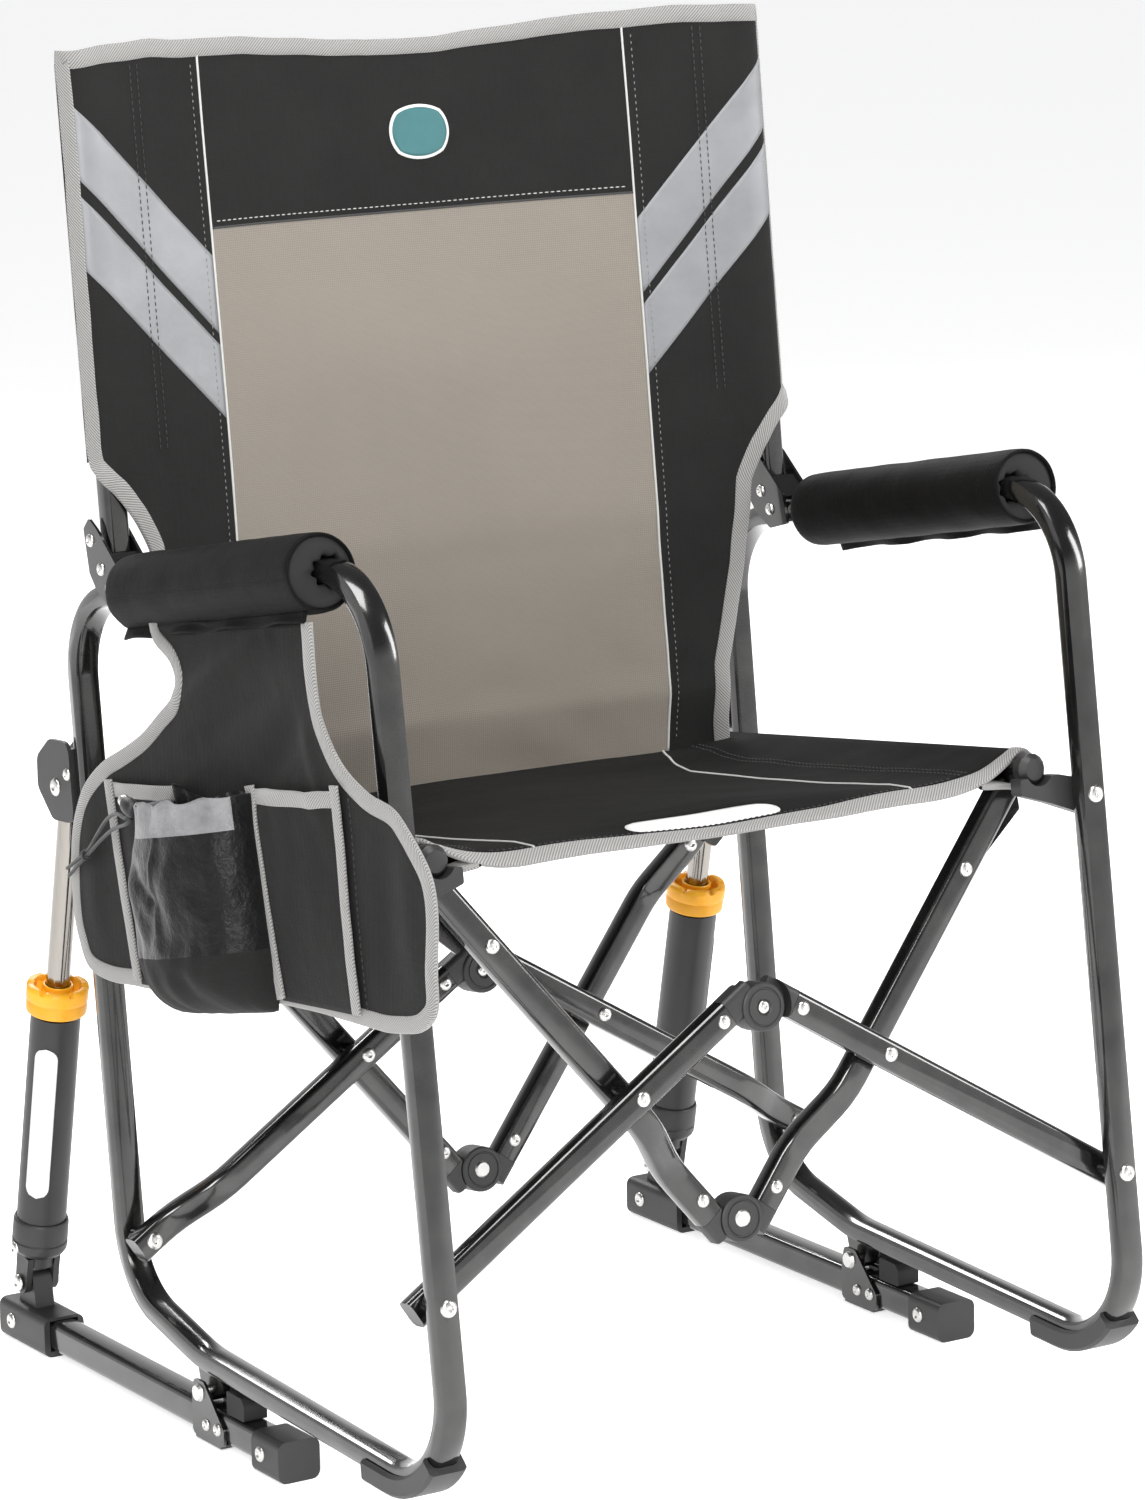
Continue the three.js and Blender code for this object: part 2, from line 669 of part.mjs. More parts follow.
function rockerPin() {
  const [y, z] = rockPin;
  const half = rail.size / 2 + gap + 2;
  const head = 2.4;
  const length = 2 * (half + head);
  const profile = [
    [0, 0], [5.2, 0], [6.5, head - 0.1], [boltRadius, head - 0.1],
    [boltRadius, length - head + 0.1], [6.5, length - head + 0.1], [5.2, length], [0, length],
  ];
  const start = halfTrack - half - head;
  return turned(profile, v3(start, y, z), v3(start + length, y, z), 16);
}

// Rubber block on the rail that the loop's bottom rests on.
function railBumper() {
  const top = (y) => 44.1 + ((y + 40) / 40) * 1.6;
  const outline = polygon([[-42, 28.4], [-18, 28.4], [-18, top(-18)], [-38, top(-38)], [-42, 40]], 1.5);
  return sidePlate(outline, halfTrack - 9, halfTrack + 9, { arcs: 2 });
}

addPair(chair, "ground_rail", groundRail(), paint);
addPair(chair, "ground_front_cap", groundFrontCap(), plastic);
addPair(chair, "ground_rear_cap", groundRearCap(), plastic);
addPair(chair, "pivot_bracket", pivotBracket(), paint);
addPair(chair, "rocker_pin", rockerPin(), steel);
addPair(chair, "rail_bumper", railBumper(), rubber);

// ---------------------------------------------------------------- spring pistons

const foot = v3(halfTrack, ...pistonFoot);
const head = v3(halfTrack, ...pistonHead);
const pistonLength = foot.distanceTo(head);
const pistonAxis = head.clone().sub(foot).normalize();
const onPiston = (s) => foot.clone().addScaledVector(pistonAxis, s);

// Yoke: cheeks beside the rear cap's lug, its pin through them, and a tongue into the barrel cap.
function pistonYoke() {
  const [y, z] = pistonFoot;
  const cheek = new THREE.Shape();
  const along = Math.atan2(pistonAxis.z, pistonAxis.y);
  cheek.absarc(y, z, 8, along + Math.PI / 2, along + (3 * Math.PI) / 2, false);
  const across = [Math.sin(along), -Math.cos(along)];
  const corner = (side) => [
    onPiston(22).y + side * 9 * across[0], onPiston(22).z + side * 9 * across[1],
  ];
  cheek.lineTo(...corner(1));
  cheek.lineTo(...corner(-1));
  cheek.closePath();
  const bridge = rod(onPiston(14), onPiston(24), 11, 16);
  return join(
    sidePlate(cheek, halfTrack - 13, halfTrack - 8.5, { arcs: 8 }),
    sidePlate(cheek, halfTrack + 8.5, halfTrack + 13, { arcs: 8 }),
    bridge,
    rodX(halfTrack - 15, halfTrack + 15, y, z, boltRadius, 12),
  );
}

// Barrel with its bottom cap, open at the top for the rod.
function pistonBarrel() {
  const bore = piston.rodRadius + 0.6;
  const profile = [
    [0, 24 + gap], [piston.capRadius - 3, 24 + gap], [piston.capRadius, 28], [piston.capRadius, 49],
    [piston.radius, 51], [piston.radius, 213], [bore, 213], [bore, 60], [0, 60],
  ];
  return turned(profile, foot, head, 20);
}

// Lobed collar screwed onto the barrel's mouth.
function pistonCollar() {
  const outline = new THREE.Shape();
  const lobes = 6;
  for (let i = 0; i < 24; i += 1) {
    const angle = (i / 24) * 2 * Math.PI;
    const r = piston.collarRadius + 0.9 * Math.cos(lobes * angle);
    if (i === 0) outline.moveTo(r, 0);
    else outline.lineTo(r * Math.cos(angle), r * Math.sin(angle));
  }
  const hole = new THREE.Path();
  hole.absarc(0, 0, piston.rodRadius + 0.6, 0, 2 * Math.PI, true);
  outline.holes.push(hole);
  const collar = new THREE.ExtrudeGeometry(outline, {
    depth: 21 - 4, curveSegments: 10, bevelEnabled: true, bevelThickness: 2, bevelSize: 2,
    bevelOffset: -2, bevelSegments: 1,
  });
  const turn = new THREE.Quaternion().setFromUnitVectors(v3(0, 0, 1), pistonAxis);
  const base = onPiston(215 + gap);
  return collar.applyQuaternion(turn).translate(base.x, base.y, base.z);
}

// Polished rod with a flat eye; the eye's hole is wide, as the fold of the piston leaves it open.
function pistonRod() {
  const shaft = rod(onPiston(150), onPiston(pistonLength - 9), piston.rodRadius, 16);
  const [y, z] = pistonHead;
  const eye = rodX(halfTrack - 9, halfTrack + 9, y, z, 11.5, 20);
  const bore = rodX(halfTrack - 20, halfTrack + 20, y, z, boltRadius + 3.2, 16);
  return cut(join(shaft, eye), bore);
}

addPair(chair, "piston_yoke", pistonYoke(), plastic);
addPair(chair, "piston_barrel", pistonBarrel(), barrelPaint);
addPair(chair, "piston_collar", pistonCollar(), amber);
addPair(chair, "piston_rod", pistonRod(), steel);

// ---------------------------------------------------------------- organizer

// Panel under the left arm pad: a neck that flares to a wide pocket band.
function organizerPanel() {
  const neckRear = [[8, 573], [-20, 551], [-27, 538], [-2, 515], [80, 469], [124, 427], [135, 390]];
  const band = [[133, 360], [122, 328], [100, 318], [39, 322], [-162, 349], [-302, 360], [-338, 364]];
  const neckFront = [[-351, 380], [-353, 440], [-338, 478], [-309, 499], [-241, 518], [-212, 556]];
  const outline = [[-203, 600], ...neckRear, ...band, ...neckFront].map(v2);
  const shape = new THREE.Shape();
  shape.moveTo(outline[0].x, outline[0].y);
  shape.lineTo(outline[1].x, outline[1].y);
  shape.splineThru(outline.slice(2));
  shape.closePath();
  const x = organizer.x;
  return sidePlate(shape, -x - organizer.thick, -x, { arcs: 2 });
}

// Bottle pocket on the panel: an open cup of half-oval plan, hung at the slope of the arm.
function bottlePocket() {
  const { x, thick, pocket } = organizer;
  const inner = -x - thick - gap;
  const plan = (wall) => {
    const { half, out } = pocket;
    const reach = inner - (4 / 3) * (out - wall);
    const outline = new THREE.Shape();
    outline.moveTo(inner - wall, -half + wall);
    outline.bezierCurveTo(reach, -half + wall, reach, half - wall, inner - wall, half - wall);
    outline.closePath();
    return outline;
  };
  const extruded = (outline, from, to) =>
    new THREE.ExtrudeGeometry(outline, { depth: to - from, curveSegments: 16, bevelEnabled: false })
      .translate(0, 0, from);
  return cut(extruded(plan(0), -pocket.deep, 0), extruded(plan(2.2), 2.5 - pocket.deep, 8));
}

const hanging = new THREE.Group(); // the pocket's frame: origin at the middle of its mouth
hanging.position.set(0, ...organizer.pocket.mouth);
hanging.rotation.x = -rad(organizer.pocket.tilt);
chair.add(hanging);

add(chair, "organizer_panel", organizerPanel(), fabric);
add(hanging, "bottle_pocket", bottlePocket(), fabric);

// ---------------------------------------------------------------- origin

// The origin is under the middle of the chair, on the ground.
const bounds = new THREE.Box3().setFromObject(chair);
const middle = bounds.getCenter(v3(0, 0, 0));
chair.position.set(-middle.x, -middle.y, -bounds.min.z);

const part = new THREE.Group();
part.add(chair);

export default part;
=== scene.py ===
"""Looks of the folding camp rocking chair: fabric, foam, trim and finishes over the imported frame.

Lengths here are millimetres in the chair's own frame (x across from its middle plane, y to the
rear, z up), and place() moves them to the row frame in metres.
"""
import json
import math

import bmesh
import bpy
import numpy as np
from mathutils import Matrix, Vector, noise
from mathutils.bvhtree import BVHTree


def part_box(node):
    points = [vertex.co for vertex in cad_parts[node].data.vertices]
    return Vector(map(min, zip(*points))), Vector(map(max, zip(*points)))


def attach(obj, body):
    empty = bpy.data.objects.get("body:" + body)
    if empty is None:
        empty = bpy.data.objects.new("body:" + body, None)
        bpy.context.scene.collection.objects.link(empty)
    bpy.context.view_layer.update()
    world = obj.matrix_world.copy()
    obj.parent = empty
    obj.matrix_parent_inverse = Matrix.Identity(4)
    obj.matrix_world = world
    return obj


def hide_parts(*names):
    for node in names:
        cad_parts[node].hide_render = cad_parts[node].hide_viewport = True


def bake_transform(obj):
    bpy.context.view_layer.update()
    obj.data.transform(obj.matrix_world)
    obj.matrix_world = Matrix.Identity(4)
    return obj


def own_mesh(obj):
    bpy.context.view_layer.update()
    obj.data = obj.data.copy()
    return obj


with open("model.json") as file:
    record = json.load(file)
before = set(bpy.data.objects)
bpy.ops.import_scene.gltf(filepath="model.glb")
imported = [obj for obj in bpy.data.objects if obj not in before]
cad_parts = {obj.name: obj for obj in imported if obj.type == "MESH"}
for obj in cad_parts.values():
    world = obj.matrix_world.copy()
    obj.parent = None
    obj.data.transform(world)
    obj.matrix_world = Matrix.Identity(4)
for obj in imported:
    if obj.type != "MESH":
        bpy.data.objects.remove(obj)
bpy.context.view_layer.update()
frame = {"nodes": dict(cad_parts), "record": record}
nodes = frame["nodes"]
scene = bpy.context.scene

# ------------------------------------------------------------------ chair frame

left_box, right_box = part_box("side_frame_left"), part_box("side_frame_right")
rail_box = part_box("ground_rail_left")
MID = np.array([
    (left_box[0].x + right_box[1].x) / 2,
    (rail_box[0].y + rail_box[1].y) / 2 - 0.105,
    rail_box[0].z - 0.006,
])
HALF = 271.0  # middle of the chair to the plane of a side frame
FALL = math.radians(7.3)  # the scissors and the seat fall to the rear


def place(p):
    """Chair frame in millimetres to row frame in metres."""
    return np.asarray(p, float) / 1000 + MID


def mech(x, t, h):
    """The scissors' frame, which falls to the rear, to the chair frame."""
    y = t * math.cos(FALL) + h * math.sin(FALL)
    z = -t * math.sin(FALL) + h * math.cos(FALL)
    return np.array([x, y, z])


# ------------------------------------------------------------------ camera, light, floor

YAW, PITCH, ROLL = math.radians(-31.95), math.radians(11.06), math.radians(-1.04)
CAMERA_AT = (-2077.3, -3355.0, 1262.4)
SENSOR, LENS = 36, 139.296


def make_camera():
    cam = bpy.data.objects.new("camera", bpy.data.cameras.new("camera"))
    scene.collection.objects.link(cam)
    back = Vector((math.sin(YAW) * math.cos(PITCH), -math.cos(YAW) * math.cos(PITCH), math.sin(PITCH)))
    right = Vector((math.cos(YAW), math.sin(YAW), 0))
    up = back.cross(right)
    c, s = math.cos(ROLL), math.sin(ROLL)
    r2, u2 = c * right + s * up, c * up - s * right
    matrix = cam.matrix_world.to_3x3()
    for i in range(3):
        matrix[i][0], matrix[i][1], matrix[i][2] = r2[i], u2[i], back[i]
    cam.matrix_world = matrix.to_4x4()
    cam.location = Vector(place(CAMERA_AT))
    cam.data.sensor_fit = "AUTO"
    cam.data.sensor_width = SENSOR
    cam.data.lens = LENS
    cam.data.shift_x = 0.003
    cam.data.shift_y = -0.0373
    cam.data.clip_end = 50
    scene.camera = cam


def area_light(name, spot, target, size, power):
    light = bpy.data.lights.new(name, "AREA")
    light.shape, light.size, light.size_y = "RECTANGLE", size[0], size[1]
    light.energy = power
    ob = bpy.data.objects.new(name, light)
    scene.collection.objects.link(ob)
    ob.location = spot
    ob.rotation_euler = (Vector(target) - Vector(spot)).to_track_quat("-Z", "Y").to_euler()


def make_studio():
    world = bpy.data.worlds.new("studio")
    world.use_nodes = True
    tree = world.node_tree
    sky = tree.nodes["Background"]
    sky.inputs["Strength"].default_value = 1.0
    spot = tree.nodes.new("ShaderNodeTexCoord")
    split = tree.nodes.new("ShaderNodeSeparateXYZ")
    fade = tree.nodes.new("ShaderNodeValToRGB")
    tree.links.new(spot.outputs["Generated"], split.inputs["Vector"])
    tree.links.new(split.outputs["Z"], fade.inputs["Fac"])
    tree.links.new(fade.outputs["Color"], sky.inputs["Color"])
    horizon, zenith = fade.color_ramp.elements
    horizon.position, horizon.color = 0.22, (1, 1, 1, 1)
    zenith.position, zenith.color = 0.45, (0.14, 0.14, 0.145, 1)
    scene.world = world
    area_light("key", (-1.9, -2.6, 2.1), (0, 0, 0.45), (0.9, 1.9), 74)
    area_light("fill", (2.6, -2.0, 1.9), (0, 0, 0.5), (0.8, 1.9), 54)
    area_light("top", (-0.3, -0.4, 3.4), (0, 0, 0.4), (1.6, 1.6), 72)
    area_light("rim", (0.6, 3.0, 2.6), (0, 0, 0.6), (2.0, 0.6), 64)
    scene.view_settings.view_transform = "Standard"
    bpy.ops.mesh.primitive_plane_add(size=40, location=(0, 0, 0))
    floor = bpy.context.object
    floor.name = "studio_floor"
    white, _, shader = principled("floor")
    shader.inputs["Base Color"].default_value = (0.95, 0.95, 0.95, 1)
    shader.inputs["Roughness"].default_value = 0.8
    shader.inputs["Emission Color"].default_value = (1, 1, 1, 1)
    shader.inputs["Emission Strength"].default_value = 0.66
    floor.data.materials.append(white)


# ------------------------------------------------------------------ materials


def principled(name):
    mat = bpy.data.materials.new(name)
    mat.use_nodes = True
    return mat, mat.node_tree, mat.node_tree.nodes["Principled BSDF"]


class Graph:
    """Short names for building one material's nodes."""

    def __init__(self, name):
        self.mat, self.tree, self.bsdf = principled(name)

    def node(self, kind, **settings):
        n = self.tree.nodes.new(kind)
        inputs = settings.pop("inputs", {})
        for key, value in settings.items():
            setattr(n, key, value)
        for key, value in inputs.items():
            if isinstance(value, bpy.types.NodeSocket):
                self.tree.links.new(value, n.inputs[key])
            else:
                n.inputs[key].default_value = value
        return n

    def coords(self, kind="Object", scale=(1, 1, 1)):
        tc = self.node("ShaderNodeTexCoord")
        mp = self.node("ShaderNodeMapping", inputs={"Vector": tc.outputs[kind], "Scale": scale})
        return mp.outputs["Vector"]

    def noise(self, vector, scale, detail=3.0, rough=0.5):
        n = self.node("ShaderNodeTexNoise", inputs={
            "Vector": vector, "Scale": scale, "Detail": detail, "Roughness": rough})
        return n.outputs["Fac"]

    def wave(self, vector, scale, direction="X"):
        n = self.node("ShaderNodeTexWave", wave_type="BANDS", bands_direction=direction, inputs={
            "Vector": vector, "Scale": scale, "Distortion": 0.0})
        return n.outputs["Fac"]

    def ramp(self, fac, stops):
        n = self.node("ShaderNodeValToRGB", inputs={"Fac": fac})
        ramp = n.color_ramp
        while len(ramp.elements) < len(stops):
            ramp.elements.new(0.5)
        for element, (spot, color) in zip(ramp.elements, stops):
            element.position = spot
            element.color = (*color, 1)
        return n.outputs["Color"]

    def math(self, op, a, b=0.0):
        n = self.node("ShaderNodeMath", operation=op, inputs={0: a, 1: b})
        return n.outputs["Value"]

    def bump(self, height, strength, distance, normal=None):
        inputs = {"Height": height, "Strength": strength, "Distance": distance}
        if normal is not None:
            inputs["Normal"] = normal
        return self.node("ShaderNodeBump", inputs=inputs).outputs["Normal"]

    def set(self, **values):
        for key, value in values.items():
            key = key.replace("_", " ")
            if isinstance(value, bpy.types.NodeSocket):
                self.tree.links.new(value, self.bsdf.inputs[key])
            else:
                self.bsdf.inputs[key].default_value = value
        return self.mat


def gray(v, warm=0.0):
    return (v * (1 + warm), v, v * (1 - warm))


def scaled(color, k):
    return tuple(c * k for c in color)


def spread_roughness(g, fac, low, spread):
    """Roughness that runs from low up with a texture."""
    value = g.math("MULTIPLY_ADD", fac, spread)
    value.node.inputs[2].default_value = low
    return value


def paint_material(name, base, rough):
    g = Graph(name)
    v = g.coords()
    smear = g.noise(v, 35, 4, 0.6)
    peel = g.noise(v, 900, 2, 0.5)
    color = g.ramp(smear, [(0.3, gray(base * 0.8)), (0.7, gray(base * 1.25, 0.02))])
    return g.set(Base_Color=color, Roughness=spread_roughness(g, smear, rough - 0.06, 0.12),
                 Metallic=0.9, Specular_IOR_Level=0.5, Coat_Weight=0.6, Coat_Roughness=0.05,
                 Normal=g.bump(peel, 0.12, 0.0002))


def plastic_material(name, base, rough, grain=1400):
    g = Graph(name)
    v = g.coords()
    speck = g.noise(v, grain, 3, 0.6)
    cloud = g.noise(v, 30, 3, 0.5)
    color = g.ramp(cloud, [(0.3, scaled(base, 0.85)), (0.7, scaled(base, 1.15))])
    return g.set(Base_Color=color, Roughness=rough, Normal=g.bump(speck, 0.25, 0.0003))


def metal_material(name, base, rough, streak_stretch=(1, 1, 1)):
    g = Graph(name)
    # Colour and roughness follow this texture. On the rivets it is scratches. On the polished rod it is
    # stretched along the length, and its lighter and darker colour streaks are painted reflection stripes.
    scratch_and_reflection_streak = g.noise(g.coords(scale=streak_stretch), 260, 4, 0.6)
    color = g.ramp(scratch_and_reflection_streak, [(0.3, scaled(base, 0.9)), (0.75, base)])
    return g.set(Base_Color=color, Roughness=spread_roughness(g, scratch_and_reflection_streak, rough - 0.06, 0.15),
                 Metallic=1.0, Normal=g.bump(scratch_and_reflection_streak, 0.05, 0.0002))


CLOTH_PITCH, COARSE_PITCH = 0.0009, 0.0016  # thread to thread, in metres


def wave_scale(pitch):
    """A wave texture's scale for bands at a pitch in metres: it repeats every 2 pi / (20 scale)."""
    return math.pi / (10 * pitch)


def weave(g, v, pitch):
    """Height of a plain weave with the given thread pitch in metres, from metre coordinates."""
    k = wave_scale(pitch)
    return g.math("MAXIMUM", g.wave(v, k, "X"), g.wave(v, k, "Y"))


def ripstop_material(name, base, sheen, gloss, rough=0.78, grid=0.0055):
    """Fine plain weave with a grid of thicker threads."""
    g = Graph(name)
    v = g.coords("UV")
    cloth = weave(g, v, CLOTH_PITCH)
    ribs = g.math("POWER", weave(g, v, grid), 14.0)
    fuzz = g.noise(v, 1500, 3, 0.7)
    cloud = g.noise(v, 14, 4, 0.6)
    lift = g.math("ADD", g.math("MULTIPLY", fuzz, 0.75), g.math("MULTIPLY", cloud, 0.25))
    dark, light = gray(base * 0.6), gray(base * 1.6, 0.03)
    color = g.ramp(lift, [(0.32, dark), (0.5, gray(base, 0.03)), (0.72, light)])
    height = g.math("ADD", cloth, g.math("MULTIPLY", ribs, 0.7))
    folds = g.bump(g.noise(v, 26, 3, 0.55), 0.35, 0.004)
    return g.set(Base_Color=color, Roughness=rough, Sheen_Weight=sheen, Sheen_Roughness=0.45,
                 Specular_IOR_Level=gloss, Normal=g.bump(height, 0.45, 0.00025, folds))


def netting_material(name, base):
    g = Graph(name)
    v = g.coords("UV")
    threads = weave(g, v, COARSE_PITCH)
    cloud = g.noise(v, 9, 4, 0.6)
    fuzz = g.noise(v, 900, 3, 0.6)
    mixed = g.math("ADD", g.math("MULTIPLY", threads, 0.55),
                   g.math("ADD", g.math("MULTIPLY", cloud, 0.25), g.math("MULTIPLY", fuzz, 0.2)))
    color = g.ramp(mixed, [(0.2, scaled(base, 0.72)), (0.62, base), (0.95, scaled(base, 1.12))])
    return g.set(Base_Color=color, Roughness=0.75, Sheen_Weight=0.2, Sheen_Roughness=0.5,
                 Normal=g.bump(threads, 0.5, 0.0004))


def webbing_material(name, base):
    g = Graph(name)
    v = g.coords("UV")
    slant = g.node("ShaderNodeMapping", inputs={"Vector": v, "Rotation": (0, 0, math.radians(45))})
    twill = g.wave(slant.outputs["Vector"], wave_scale(COARSE_PITCH), "X")
    fuzz = g.noise(v, 1300, 3, 0.6)
    mixed = g.math("ADD", g.math("MULTIPLY", twill, 0.6), g.math("MULTIPLY", fuzz, 0.4))
    color = g.ramp(mixed, [(0.2, scaled(base, 0.45)), (0.55, base), (0.9, scaled(base, 1.35))])
    return g.set(Base_Color=color, Roughness=0.8, Sheen_Weight=0.3, Sheen_Roughness=0.5,
                 Normal=g.bump(mixed, 0.6, 0.0005))


def film_material(name, base, rough, metal=0.0):
    """Printed or reflective film on cloth, with the weave just showing through."""
    g = Graph(name)
    v = g.coords("UV")
    cloud = g.noise(v, 22, 4, 0.6)
    color = g.ramp(cloud, [(0.3, scaled(base, 0.86)), (0.7, scaled(base, 1.06))])
    folds = g.bump(g.noise(v, 26, 3, 0.55), 0.3, 0.003)
    return g.set(Base_Color=color, Roughness=rough, Metallic=metal,
                 Normal=g.bump(weave(g, v, CLOTH_PITCH), 0.25, 0.0002, folds))


def crinkled_material(name, base, rough, scale, gloss=0.5):
    """Thin coated nylon, soft and crinkled."""
    g = Graph(name)
    v = g.coords("Object")
    crease = g.noise(v, scale, 5, 0.65)
    fine = g.noise(v, 1200, 3, 0.6)
    color = g.ramp(crease, [(0.3, scaled(base, 0.75)), (0.7, scaled(base, 1.25))])
    return g.set(Base_Color=color, Roughness=rough, Sheen_Weight=0.05, Specular_IOR_Level=gloss,
                 Normal=g.bump(fine, 0.3, 0.0003, g.bump(crease, 0.6, 0.005)))


def thread_material(name, base):
    g = Graph(name)
    v = g.coords("Object")
    ply = g.wave(v, 900, "DIAGONAL")
    color = g.ramp(ply, [(0.1, scaled(base, 0.75)), (0.8, base)])
    return g.set(Base_Color=color, Roughness=0.7, Sheen_Weight=0.2, Normal=g.bump(ply, 0.4, 0.0002))


PAINT = paint_material("gloss_charcoal_paint", 0.058, 0.18)
PLASTIC = plastic_material("dark_grey_nylon", gray(0.024), 0.46)
RUBBER = plastic_material("black_rubber", gray(0.014), 0.75, 700)
AMBER = plastic_material("amber_plastic", (0.86, 0.39, 0.012), 0.36)
BARREL = plastic_material("satin_black_sleeve", gray(0.018), 0.42, 1000)
# the rod's lengthwise streaks are painted reflection stripes in its colour, over rougher and smoother bands
STEEL = metal_material("polished_rod", (0.33, 0.31, 0.285), 0.1, (1, 1, 0.05))
RIVET = metal_material("rivet_steel", (0.72, 0.71, 0.69), 0.3)
RIPSTOP = ripstop_material("charcoal_ripstop", 0.0118, 0.04, 0.18)
SEATING = ripstop_material("seat_cloth", 0.0062, 0.02, 0.1)
NETTING = netting_material("taupe_netting", (0.22, 0.194, 0.162))
BINDING = webbing_material("grey_binding", (0.29, 0.285, 0.275))
STRIPE = film_material("reflective_stripe", (0.245, 0.25, 0.26), 0.42, 0.15)
PRINT = film_material("blank_print", (0.82, 0.82, 0.8), 0.5)
PATCH = film_material("blank_patch", (0.035, 0.15, 0.16), 0.5)
LABEL = film_material("blank_label", (0.82, 0.82, 0.82), 0.4)
LINING = crinkled_material("silver_lining", (0.2, 0.2, 0.205), 0.42, 55)
NYLON = crinkled_material("pocket_nylon", (0.006, 0.006, 0.006), 0.36, 34, gloss=0.2)
THREAD = thread_material("pale_thread", (0.62, 0.62, 0.6))
PALE = thread_material("grey_thread", (0.28, 0.28, 0.27))
DARK_THREAD = thread_material("dark_thread", (0.03, 0.03, 0.03))
CORD = thread_material("black_cord", (0.008, 0.008, 0.008))
FOAM = plastic_material("foam_tube", gray(0.016), 0.9, 500)
COVER = ripstop_material("pad_cover", 0.0045, 0.015, 0.11, rough=0.62, grid=0.004)

# ------------------------------------------------------------------ mesh helpers


SIDES = (-1, 1)


def side_word(side):
    return "right" if side > 0 else "left"


def grid_faces(rows, columns, flip=False):
    """Quads over rows of points, wound the other way round with flip."""
    starts = [j * columns + i for j in range(rows - 1) for i in range(columns - 1)]
    if flip:
        return [(k, k + columns, k + columns + 1, k + 1) for k in starts]
    return [(k, k + 1, k + columns + 1, k + columns) for k in starts]


def shifted(faces, base):
    return [tuple(base + i for i in face) for face in faces]


def add_mesh(name, verts, faces, mat, body, uvs=None, mats=None, face_mats=None):
    """New piece from chair-frame millimetres, riding on a body, or on one named later."""
    mesh = bpy.data.meshes.new(name)
    mesh.from_pydata([tuple(place(v)) for v in verts], [], faces)
    for m in mats or [mat]:
        mesh.materials.append(m)
    if face_mats is not None:
        mesh.polygons.foreach_set("material_index", face_mats)
    if uvs is not None:
        layer = mesh.uv_layers.new(name="UVMap")
        for loop in mesh.loops:
            u, v = uvs[loop.vertex_index]
            layer.data[loop.index].uv = (u / 1000, v / 1000)
    mesh.shade_smooth()
    mesh.update()
    ob = bpy.data.objects.new(name, mesh)
    scene.collection.objects.link(ob)
    if body:
        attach(ob, body)
    return ob


def fix_normals(ob):
    bm = bmesh.new()
    bm.from_mesh(ob.data)
    bmesh.ops.recalc_face_normals(bm, faces=bm.faces)
    bm.to_mesh(ob.data)
    bm.free()


def solidify(ob, thick, offset):
    mod = ob.modifiers.new("thickness", "SOLIDIFY")
    mod.thickness, mod.offset = thick / 1000, offset
    mod.use_even_offset = False
    return ob


def unit(v):
    n = np.linalg.norm(v)
    return v / n if n > 1e-12 else v


class Sheet:
    """A smooth cloth surface: at(a, b) is a point in the chair frame, a and b are about
    millimetres along the cloth, and normal() faces the side that is seen."""

    def __init__(self, at, sign=1.0):
        self.at, self.sign = at, sign

    def normal(self, a, b):
        e = 0.5
        da = self.at(a + e, b) - self.at(a - e, b)
        db = self.at(a, b + e) - self.at(a, b - e)
        return unit(np.cross(da, db)) * self.sign

    def lifted(self, a, b, height):
        return self.at(a, b) + self.normal(a, b) * height


def resample(path, step):
    """Points about every step along a 2-D polyline."""
    path = [np.asarray(p, float) for p in path]
    out = [path[0]]
    for p, q in zip(path, path[1:]):
        n = max(1, int(round(np.linalg.norm(q - p) / step)))
        out += [p + (q - p) * k / n for k in range(1, n + 1)]
    return out


def smooth_path(points, step):
    """Catmull-Rom through the points, resampled."""
    pts = [np.asarray(p, float) for p in points]
    pts = [2 * pts[0] - pts[1]] + pts + [2 * pts[-1] - pts[-2]]
    out = []
    for p0, p1, p2, p3 in zip(pts, pts[1:], pts[2:], pts[3:]):
        count = max(2, int(np.linalg.norm(p2 - p1) / step))
        for t in (k / count for k in range(count)):
            out.append(0.5 * (2 * p1 + (p2 - p0) * t + (2 * p0 - 5 * p1 + 4 * p2 - p3) * t * t
                              + (3 * p1 - p0 - 3 * p2 + p3) * t ** 3))
    return out + [pts[-2]]


def tangents(path):
    ends = [path[0]] + list(path) + [path[-1]]
    return [unit(b - a) for a, b in zip(ends, ends[2:])]


def circle(count):
    return np.linspace(0, 2 * math.pi, count, endpoint=False)


def loft(rings, caps=True):
    """Faces between equal rings of points."""
    m, n = len(rings), len(rings[0])
    verts = [p for ring in rings for p in ring]
    faces = []
    for i in range(m - 1):
        for k in range(n):
            l = (k + 1) % n
            faces.append((i * n + k, i * n + l, (i + 1) * n + l, (i + 1) * n + k))
    if caps:
        faces.append(tuple(range(n)))
        faces.append(tuple(reversed(range((m - 1) * n, m * n))))
    return verts, faces


def lofted(name, rings, mat, body, uvs=None, caps=True):
    ob = add_mesh(name, *loft(rings, caps), mat, body, uvs=uvs)
    fix_normals(ob)
    return ob


def ribbon(name, sheet, path, body, section, drift):
    """Woven tape along a path on the cloth. section is (offset, height) to the left of the path,
    and drift is how far it wanders at a distance along the path. The rear has its own strip of weave."""
    path = [np.asarray(p, float) for p in path]
    rings, uvs = [], []
    run = 0.0
    for i, (p, t) in enumerate(zip(path, tangents(path))):
        if i:
            run += np.linalg.norm(p - path[i - 1])
        side = np.array([-t[1], t[0]])
        ring = []
        for offset, height in section:
            q = p + side * (offset + drift(run))
            ring.append(sheet.lifted(q[0], q[1], height))
            uvs.append((run, offset + (3 if height < -0.9 else 0)))
        rings.append(ring)
    return lofted(name, rings, BINDING, body, uvs)


